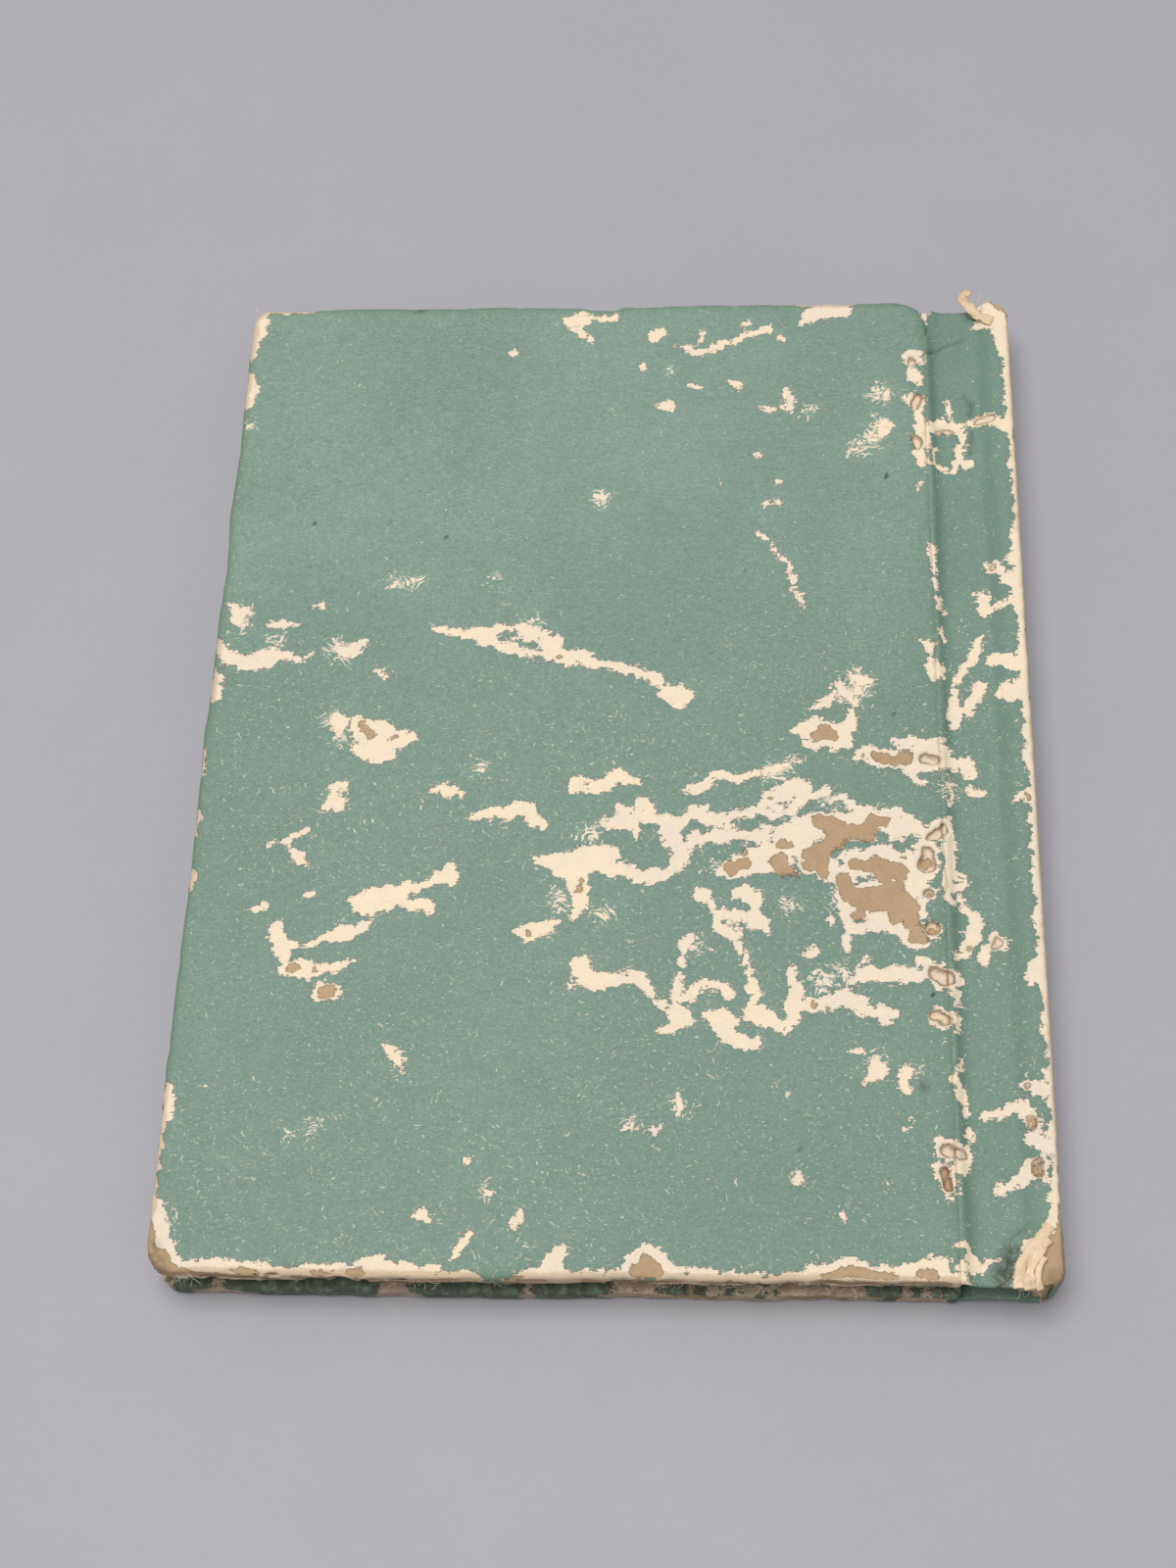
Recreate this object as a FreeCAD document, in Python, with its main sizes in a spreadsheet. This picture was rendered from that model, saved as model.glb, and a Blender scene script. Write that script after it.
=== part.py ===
import FreeCAD, Part
import Sketcher
import os
from FreeCAD import Vector

# Pocket notebook, closed and lying on its front cover.
# X runs from fore-edge to spine, Y from tail to head, Z up; the origin is under the middle.

doc = FreeCAD.newDocument("Notebook")
sheet = doc.addObject("Spreadsheet::Sheet", "Sizes")

DRIVING_SIZES = {
    # the closed book
    "coverWidth": 108.0,
    "coverLength": 140.0,
    "bookThick": 9.0,
    # case: paper over board, turned in on three sides
    "coverPaper": 0.2,
    "boardThick": 2.3,
    "endpaper": 0.1,
    "cornerRadius": 2.5,
    "turnInWidth": 12.0,
    "overhang": 3.0,
    # places along X, counted from the middle of the book
    "boardEdge": 42.5,
    "grooveEnd": 48.8,
    "spineInner": 50.6,
    "blockSpine": 50.0,
    "coverHinge": 47.3,
    "leafHinge": 45.2,
    "foldEnd": 46.9,
    "gauzeEdge": 47.0,
    "stitchLine": 48.5,
    # joint paper
    "jointLength": 138.0,
    "slopeSkew": 0.15,
    # leaves
    "leafCount": 26,
    "leafThick": 0.1,
    "leafPitch": 0.128,
    "leafGap": 0.15,
    "marginGap": 0.1,
    "gauze": 0.1,
    # wire stitches
    "wireThick": 0.5,
    "wireFit": 0.03,
    "stitchWidth": 13.0,
    "clinchLength": 5.0,
    "stitchOffset": 38.0,
    "wireBend": 0.6,
}
for row, (alias, value) in enumerate(DRIVING_SIZES.items(), start=1):
    sheet.set(f"A{row}", alias)
    sheet.set(f"B{row}", str(value))
    sheet.setAlias(f"B{row}", alias)
doc.recompute()

LEAF_COUNT = int(sheet.leafCount)
HALF_LENGTH = "Sizes.coverLength / 2"
FORE_EDGE = "-Sizes.coverWidth / 2"
SPINE_EDGE = "Sizes.coverWidth / 2"
MIDDLE = "Sizes.bookThick / 2"
BLOCK_HALF = "((Sizes.leafCount - 1) / 2 * Sizes.leafPitch + Sizes.leafThick / 2)"

nodes = []


def keep(item, label):
    """Names a finished sub-part and lists it for export."""
    item.Label = label
    nodes.append(item)
    return item


def bind(item, **expressions):
    """Ties properties to expressions; two underscores stand for a dot."""
    for name, expression in expressions.items():
        item.setExpression(name.replace("__", "."), expression)


def block(name, x, y, z):
    """A box from three (low, high) pairs of expressions."""
    item = doc.addObject("Part::Box", name)
    bind(
        item,
        Length=f"({x[1]}) - ({x[0]})",
        Width=f"({y[1]}) - ({y[0]})",
        Height=f"({z[1]}) - ({z[0]})",
        Placement__Base__x=x[0],
        Placement__Base__y=y[0],
        Placement__Base__z=z[0],
    )
    return item


def boolean(kind, name, base, tool):
    item = doc.addObject(kind, name)
    item.Base = base
    item.Tool = tool
    return item


def plane(body, role):
    return next(p for p in body.Origin.OriginFeatures if p.Role == role)


def profileBody(label, points, length):
    """A section in the XZ plane, padded evenly to both sides of it along Y."""
    body = doc.addObject("PartDesign::Body", label)
    sketch = body.newObject("Sketcher::SketchObject", label + "_section")
    sketch.AttachmentSupport = [(plane(body, "XZ_Plane"), "")]
    sketch.MapMode = "FlatFace"
    values = [[float(sheet.evalExpression(e)) for e in point] for point in points]
    corners = [Vector(x, z, 0) for x, z in values]
    count = len(corners)
    for i, corner in enumerate(corners):
        sketch.addGeometry(Part.LineSegment(corner, corners[(i + 1) % count]), False)
    for i, (x, z) in enumerate(values):
        sketch.addConstraint(Sketcher.Constraint("Coincident", i, 2, (i + 1) % count, 1))
        across = sketch.addConstraint(Sketcher.Constraint("DistanceX", -1, 1, i, 1, x))
        up = sketch.addConstraint(Sketcher.Constraint("DistanceY", -1, 1, i, 1, z))
        sketch.setExpression(f"Constraints[{across}]", points[i][0])
        sketch.setExpression(f"Constraints[{up}]", points[i][1])
    pad = body.newObject("PartDesign::Pad", label + "_pad")
    pad.Profile = sketch
    pad.Midplane = True
    pad.setExpression("Length", length)
    return keep(body, label)


def plateBody(name, x, y, z, radius):
    """A flat plate whose two fore-edge corners are rounded."""
    body = doc.addObject("PartDesign::Body", name)
    plate = body.newObject("PartDesign::AdditiveBox", name + "_plate")
    plate.AttachmentSupport = [(plane(body, "XY_Plane"), "")]
    plate.MapMode = "FlatFace"
    bind(
        plate,
        Length=f"({x[1]}) - ({x[0]})",
        Width=f"({y[1]}) - ({y[0]})",
        Height=f"({z[1]}) - ({z[0]})",
        AttachmentOffset__Base__x=x[0],
        AttachmentOffset__Base__y=y[0],
        AttachmentOffset__Base__z=z[0],
    )
    doc.recompute()
    low = plate.Shape.BoundBox.XMin
    upright = [
        f"Edge{i}"
        for i, edge in enumerate(plate.Shape.Edges, start=1)
        if edge.BoundBox.XMax < low + 0.01 and edge.BoundBox.ZLength > edge.BoundBox.YLength
    ]
    rounding = body.newObject("PartDesign::Fillet", name + "_corners")
    rounding.Base = (plate, upright)
    rounding.setExpression("Radius", radius)
    return body


def level(isBack, low, high):
    """Heights counted from the outer face of a cover, for either cover."""
    if isBack:
        return (f"Sizes.bookThick - ({high})", f"Sizes.bookThick - ({low})")
    return (low, high)


def addCover(side, isBack):
    """One cover: board, paper with its turn-ins, pastedown, and the two papers that bend."""
    skin = "Sizes.coverPaper"
    boardTop = f"{skin} + Sizes.boardThick"
    turnTop = f"{boardTop} + {skin}"
    pasteTop = f"{turnTop} + Sizes.endpaper"
    board = plateBody(
        side + "_board",
        (f"{FORE_EDGE} + {skin}", "Sizes.boardEdge"),
        (f"-{HALF_LENGTH} + {skin}", f"{HALF_LENGTH} - {skin}"),
        level(isBack, skin, boardTop),
        f"Sizes.cornerRadius - {skin}",
    )
    keep(board, side + "_board")

    wrap = plateBody(
        side + "_wrap",
        (FORE_EDGE, "Sizes.boardEdge"),
        (f"-{HALF_LENGTH}", HALF_LENGTH),
        level(isBack, "0", turnTop),
        "Sizes.cornerRadius",
    )
    hollow = boolean("Part::Cut", side + "_hollow", wrap, board)
    window = block(
        side + "_window",
        (f"{FORE_EDGE} + Sizes.turnInWidth", "Sizes.boardEdge + 1"),
        (f"-{HALF_LENGTH} + Sizes.turnInWidth", f"{HALF_LENGTH} - Sizes.turnInWidth"),
        level(isBack, boardTop, f"{turnTop} + 1"),
    )
    paper = boolean("Part::Cut", side + "_paper", hollow, window)
    keep(paper, side + "_cover_paper")

    sheetPlate = block(
        side + "_paste_plate",
        (f"{FORE_EDGE} + Sizes.overhang", "Sizes.boardEdge"),
        (f"-{HALF_LENGTH} + Sizes.overhang", f"{HALF_LENGTH} - Sizes.overhang"),
        level(isBack, turnTop, pasteTop),
    )
    sheetPad = block(
        side + "_paste_pad",
        (f"{FORE_EDGE} + Sizes.turnInWidth", "Sizes.boardEdge"),
        (f"-{HALF_LENGTH} + Sizes.turnInWidth", f"{HALF_LENGTH} - Sizes.turnInWidth"),
        level(isBack, boardTop, turnTop),
    )
    pastedown = boolean("Part::Fuse", side + "_paste", sheetPlate, sheetPad)
    keep(pastedown, side + "_pastedown")

    fold = block(
        side + "_fold",
        ("Sizes.boardEdge", "Sizes.foldEnd"),
        (f"-{HALF_LENGTH} + Sizes.overhang", f"{HALF_LENGTH} - Sizes.overhang"),
        level(isBack, turnTop, pasteTop),
    )
    keep(fold, side + "_endpaper_fold")

    # the groove: down the board's edge, across the joint and up to the spine
    floorIn = turnTop
    floorOut = f"{turnTop} - {skin}"
    section = [
        ("Sizes.boardEdge", "0"),
        (f"Sizes.boardEdge + {skin}", "0"),
        (f"Sizes.boardEdge + {skin}", floorOut),
        ("Sizes.grooveEnd", floorOut),
        ("Sizes.spineInner", "0"),
        ("Sizes.spineInner", f"{skin} * 1.5"),
        ("Sizes.grooveEnd + Sizes.slopeSkew", floorIn),
        ("Sizes.boardEdge", floorIn),
    ]
    points = [(x, level(isBack, z, z)[0]) for x, z in section]
    profileBody(side + "_joint_paper", points, "Sizes.jointLength")


def addSpine():
    """The stiff board that stands on edge behind the block, and the paper round it."""
    skin = "Sizes.coverPaper"
    board = block(
        "spine_core",
        ("Sizes.spineInner", f"{SPINE_EDGE} - {skin}"),
        (f"-{HALF_LENGTH} + {skin}", f"{HALF_LENGTH} - {skin}"),
        (skin, f"Sizes.bookThick - {skin}"),
    )
    keep(board, "spine_board")
    points = [
        ("Sizes.spineInner", "0"),
        (SPINE_EDGE, "0"),
        (SPINE_EDGE, "Sizes.bookThick"),
        ("Sizes.spineInner", "Sizes.bookThick"),
        ("Sizes.spineInner", f"Sizes.bookThick - {skin}"),
        (f"{SPINE_EDGE} - {skin}", f"Sizes.bookThick - {skin}"),
        (f"{SPINE_EDGE} - {skin}", skin),
        ("Sizes.spineInner", skin),
    ]
    profileBody("spine_cover_paper", points, "Sizes.coverLength")


def addGauze():
    """Gauze glued round the back of the leaves, over both sides of their bound margin."""
    top = f"{MIDDLE} + {BLOCK_HALF}"
    bottom = f"{MIDDLE} - {BLOCK_HALF}"
    points = [
        ("Sizes.gauzeEdge", f"{bottom} - Sizes.gauze"),
        ("Sizes.blockSpine + Sizes.gauze", f"{bottom} - Sizes.gauze"),
        ("Sizes.blockSpine + Sizes.gauze", f"{top} + Sizes.gauze"),
        ("Sizes.gauzeEdge", f"{top} + Sizes.gauze"),
        ("Sizes.gauzeEdge", top),
        ("Sizes.blockSpine", top),
        ("Sizes.blockSpine", bottom),
        ("Sizes.gauzeEdge", bottom),
    ]
    profileBody("gauze_lining", points, "Sizes.coverLength - 2 * Sizes.overhang")


def stitchPath(middle):
    """Centre line of one wire stitch: a crown below, two legs, and both tips bent inwards."""
    half = sheet.stitchWidth / 2
    bend = sheet.wireBend
    reach = float(sheet.evalExpression(BLOCK_HALF)) - sheet.wireThick
    x = sheet.stitchLine
    low = sheet.bookThick / 2 - reach
    high = sheet.bookThick / 2 + reach
    corners = [
        Vector(x, middle - half + sheet.clinchLength, high),
        Vector(x, middle - half, high),
        Vector(x, middle - half, low),
        Vector(x, middle + half, low),
        Vector(x, middle + half, high),
        Vector(x, middle + half - sheet.clinchLength, high),
    ]
    edges = []
    start = corners[0]
    for before, corner, after in zip(corners, corners[1:], corners[2:]):
        into = (corner - before).normalize()
        out = (after - corner).normalize()
        first = corner - into * bend
        last = corner + out * bend
        centre = corner - into * bend + out * bend
        mid = centre + (corner - centre).normalize() * bend
        edges.append(Part.LineSegment(start, first).toShape())
        edges.append(Part.Arc(first, mid, last).toShape())
        start = last
    edges.append(Part.LineSegment(start, corners[-1]).toShape())
    return Part.Wire(edges)


def stitchShapes(radius):
    """Both stitches as round wire of the given radius."""
    solids = []
    for middle in (-sheet.stitchOffset, sheet.stitchOffset):
        path = stitchPath(middle)
        start = path.Edges[0].valueAt(path.Edges[0].FirstParameter)
        ring = Part.Wire([Part.makeCircle(radius, start, Vector(0, 1, 0))])
        solids.append(path.makePipeShell([ring], True, True))
    return Part.makeCompound(solids)


def addMarginAndStitches():
    """The bound edge of all the leaves, with channels where the wire goes through."""
    top = f"{MIDDLE} + {BLOCK_HALF}"
    bottom = f"{MIDDLE} - {BLOCK_HALF}"
    crease = "Sizes.leafHinge + Sizes.marginGap"
    points = [
        (crease, MIDDLE),
        (f"{crease} + {BLOCK_HALF}", bottom),
        ("Sizes.blockSpine", bottom),
        ("Sizes.blockSpine", top),
        (f"{crease} + {BLOCK_HALF}", top),
    ]
    margin = profileBody("margin_core", points, "Sizes.coverLength - 2 * Sizes.overhang")
    nodes.remove(margin)
    channel = doc.addObject("Part::Feature", "stitch_channel")
    channel.Shape = stitchShapes(sheet.wireThick / 2 + sheet.wireFit)
    keep(boolean("Part::Cut", "margin_cut", margin, channel), "bound_margin")
    wire = doc.addObject("Part::Feature", "stitch_wire")
    wire.Shape = stitchShapes(sheet.wireThick / 2)
    wire.Placement = FreeCAD.Placement()
    keep(wire, "wire_stitches")


def leafName(number):
    """Counted from the front cover; the outermost leaf at each side is a flyleaf."""
    if number == 0:
        return "front_flyleaf"
    if number == LEAF_COUNT - 1:
        return "back_flyleaf"
    return f"leaf_{number:02d}"


def addLeaves():
    """The turning part of every leaf, each ending short of its own crease."""
    for number in range(LEAF_COUNT):
        rise = f"({number} - (Sizes.leafCount - 1) / 2) * Sizes.leafPitch"
        name = leafName(number)
        leaf = block(
            name + "_sheet",
            (f"{FORE_EDGE} + Sizes.overhang", f"Sizes.leafHinge + abs({rise}) - Sizes.leafGap"),
            (f"-{HALF_LENGTH} + Sizes.overhang", f"{HALF_LENGTH} - Sizes.overhang"),
            (
                f"{MIDDLE} + {rise} - Sizes.leafThick / 2",
                f"{MIDDLE} + {rise} + Sizes.leafThick / 2",
            ),
        )
        keep(leaf, name)


def check():
    """Stops if any object failed or any sub-part has no sound solid."""
    for item in doc.Objects:
        if "Invalid" in item.State or "Error" in item.State:
            raise RuntimeError(f"{item.Label} failed: {item.State}")
    for item in nodes:
        if item.Shape.isNull() or not item.Shape.isValid() or not item.Shape.Solids:
            raise RuntimeError(f"{item.Label} has no sound solid")


addCover("front", False)
addCover("back", True)
addSpine()
addGauze()
addMarginAndStitches()
addLeaves()
doc.recompute()
check()

os.makedirs("parts", exist_ok=True)
for item in nodes:
    item.Shape.exportStep(f"parts/{item.Label}.step")
    box = item.Shape.BoundBox
    print(f"{item.Label:22s} {item.Shape.Volume:10.2f} mm3  z {box.ZMin:6.3f} to {box.ZMax:6.3f}")
print(len(nodes), "sub-parts")
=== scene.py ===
import math
import bpy
import numpy as np
from mathutils import Matrix, Vector


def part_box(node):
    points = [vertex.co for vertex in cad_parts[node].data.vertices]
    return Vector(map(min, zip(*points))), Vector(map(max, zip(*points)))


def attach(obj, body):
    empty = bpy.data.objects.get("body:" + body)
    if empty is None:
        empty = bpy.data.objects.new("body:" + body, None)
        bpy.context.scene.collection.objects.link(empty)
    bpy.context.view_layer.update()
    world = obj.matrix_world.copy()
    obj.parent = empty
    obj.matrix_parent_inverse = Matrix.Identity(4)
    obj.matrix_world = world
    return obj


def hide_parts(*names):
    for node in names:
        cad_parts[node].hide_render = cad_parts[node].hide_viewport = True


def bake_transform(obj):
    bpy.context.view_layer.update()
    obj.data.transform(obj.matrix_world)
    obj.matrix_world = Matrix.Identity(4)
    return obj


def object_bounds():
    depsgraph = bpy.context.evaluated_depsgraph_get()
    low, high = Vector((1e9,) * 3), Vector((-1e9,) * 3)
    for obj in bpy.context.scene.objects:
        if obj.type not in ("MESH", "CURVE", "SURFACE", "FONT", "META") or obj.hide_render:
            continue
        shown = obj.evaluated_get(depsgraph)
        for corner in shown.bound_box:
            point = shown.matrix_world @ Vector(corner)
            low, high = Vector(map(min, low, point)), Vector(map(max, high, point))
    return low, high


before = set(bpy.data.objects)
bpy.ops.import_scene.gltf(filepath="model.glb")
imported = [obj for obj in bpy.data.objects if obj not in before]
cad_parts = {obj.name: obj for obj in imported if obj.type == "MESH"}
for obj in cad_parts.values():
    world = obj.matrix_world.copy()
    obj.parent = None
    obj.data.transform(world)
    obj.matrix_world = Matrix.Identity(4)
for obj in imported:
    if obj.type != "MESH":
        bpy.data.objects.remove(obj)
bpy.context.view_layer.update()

# A worn hardback pocket notebook, shut, lying on its front cover.
# Shape work is done in millimetres and turned to metres when a mesh is made.
mm = 0.001
scene = bpy.context.scene


def boxMm(node):
    low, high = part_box(node)
    return np.array(low) / mm, np.array(high) / mm


backLow, backHigh = boxMm("back_cover_paper")
frontLow, frontHigh = boxMm("front_cover_paper")
spineHigh = boxMm("spine_cover_paper")[1]
spineBoardLow, spineBoardHigh = boxMm("spine_board")
bookTop = backHigh[2]
middleHeight = bookTop / 2


def softNoise(x, y, cell, seed):
    # smooth random field between -1 and 1, one value per cell
    table = np.random.default_rng(seed).uniform(-1, 1, (64, 64))
    u, v = x / cell, y / cell
    i, j = np.floor(u).astype(int), np.floor(v).astype(int)
    fu, fv = u - i, v - j
    fu, fv = fu * fu * (3 - 2 * fu), fv * fv * (3 - 2 * fv)
    a, b = table[i % 64, j % 64], table[(i + 1) % 64, j % 64]
    c, d = table[i % 64, (j + 1) % 64], table[(i + 1) % 64, (j + 1) % 64]
    return (a * (1 - fu) + b * fu) * (1 - fv) + (c * (1 - fu) + d * fu) * fv


def smoothStep(low, high, value):
    t = np.clip((value - low) / (high - low), 0, 1)
    return t * t * (3 - 2 * t)


def markDistance(x, y, marks):
    # signed distance in mm to the nearest mark; a mark is a row of (x, y, radius) and is negative inside
    best = np.full(len(x), 9.0)
    for mark in marks:
        ends = list(zip(mark, mark[1:])) or [(mark[0], mark[0])]
        for (ax, ay, ar), (bx, by, br) in ends:
            dx, dy = bx - ax, by - ay
            t = np.clip(((x - ax) * dx + (y - ay) * dy) / max(dx * dx + dy * dy, 1e-9), 0, 1)
            gap = np.hypot(x - ax - t * dx, y - ay - t * dy) - (ar + t * (br - ar))
            best = np.minimum(best, gap)
    return best


def wornLayers(x, y, marks, look):
    # three fields: paper rubbed through to cream, board showing, and gnawed hollows
    wx = x + look["wander"] * softNoise(x, y, look["lobe"], 11)
    wy = y + look["wander"] * softNoise(x, y, look["lobe"], 12)
    ragged = look["ragged"] * softNoise(x, y, look["lobe"] * 0.4, 13)
    rub = markDistance(wx, wy, marks["rubbed"]) - look["spread"] + ragged
    rub = np.maximum(rub, -markDistance(wx, wy, marks["islands"]) + ragged)
    bare = markDistance(wx, wy, marks["bare"]) + ragged
    bare = np.maximum(bare, -markDistance(wx, wy, marks["creamIslands"]))
    pit = markDistance(wx, wy, marks["pits"]) + ragged * 0.5 - look["pitSpread"]
    return np.minimum(rub, bare + 0.2), bare, pit


def plainMesh(name, points, faces, material, smooth=True):
    mesh = bpy.data.meshes.new(name)
    mesh.from_pydata((np.asarray(points) * mm).tolist(), [], faces)
    mesh.validate()
    mesh.polygons.foreach_set("use_smooth", [smooth] * len(mesh.polygons))
    piece = bpy.data.objects.new(name, mesh)
    scene.collection.objects.link(piece)
    mesh.materials.append(material)
    return piece


def storeValues(piece, name, values):
    attribute = piece.data.attributes.new(name, "FLOAT", "POINT")
    attribute.data.foreach_set("value", np.asarray(values, np.float32))


def vertexNormals(piece):
    normals = np.zeros(len(piece.data.vertices) * 3, np.float32)
    piece.data.vertices.foreach_get("normal", normals)
    return normals.reshape(-1, 3)


def pushAlongNormals(piece, heights):
    count = len(piece.data.vertices)
    places = np.zeros(count * 3, np.float32)
    piece.data.vertices.foreach_get("co", places)
    places = places.reshape(-1, 3) + vertexNormals(piece) * (heights * mm)[:, None]
    piece.data.vertices.foreach_set("co", places.ravel())
    piece.data.update()


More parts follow.
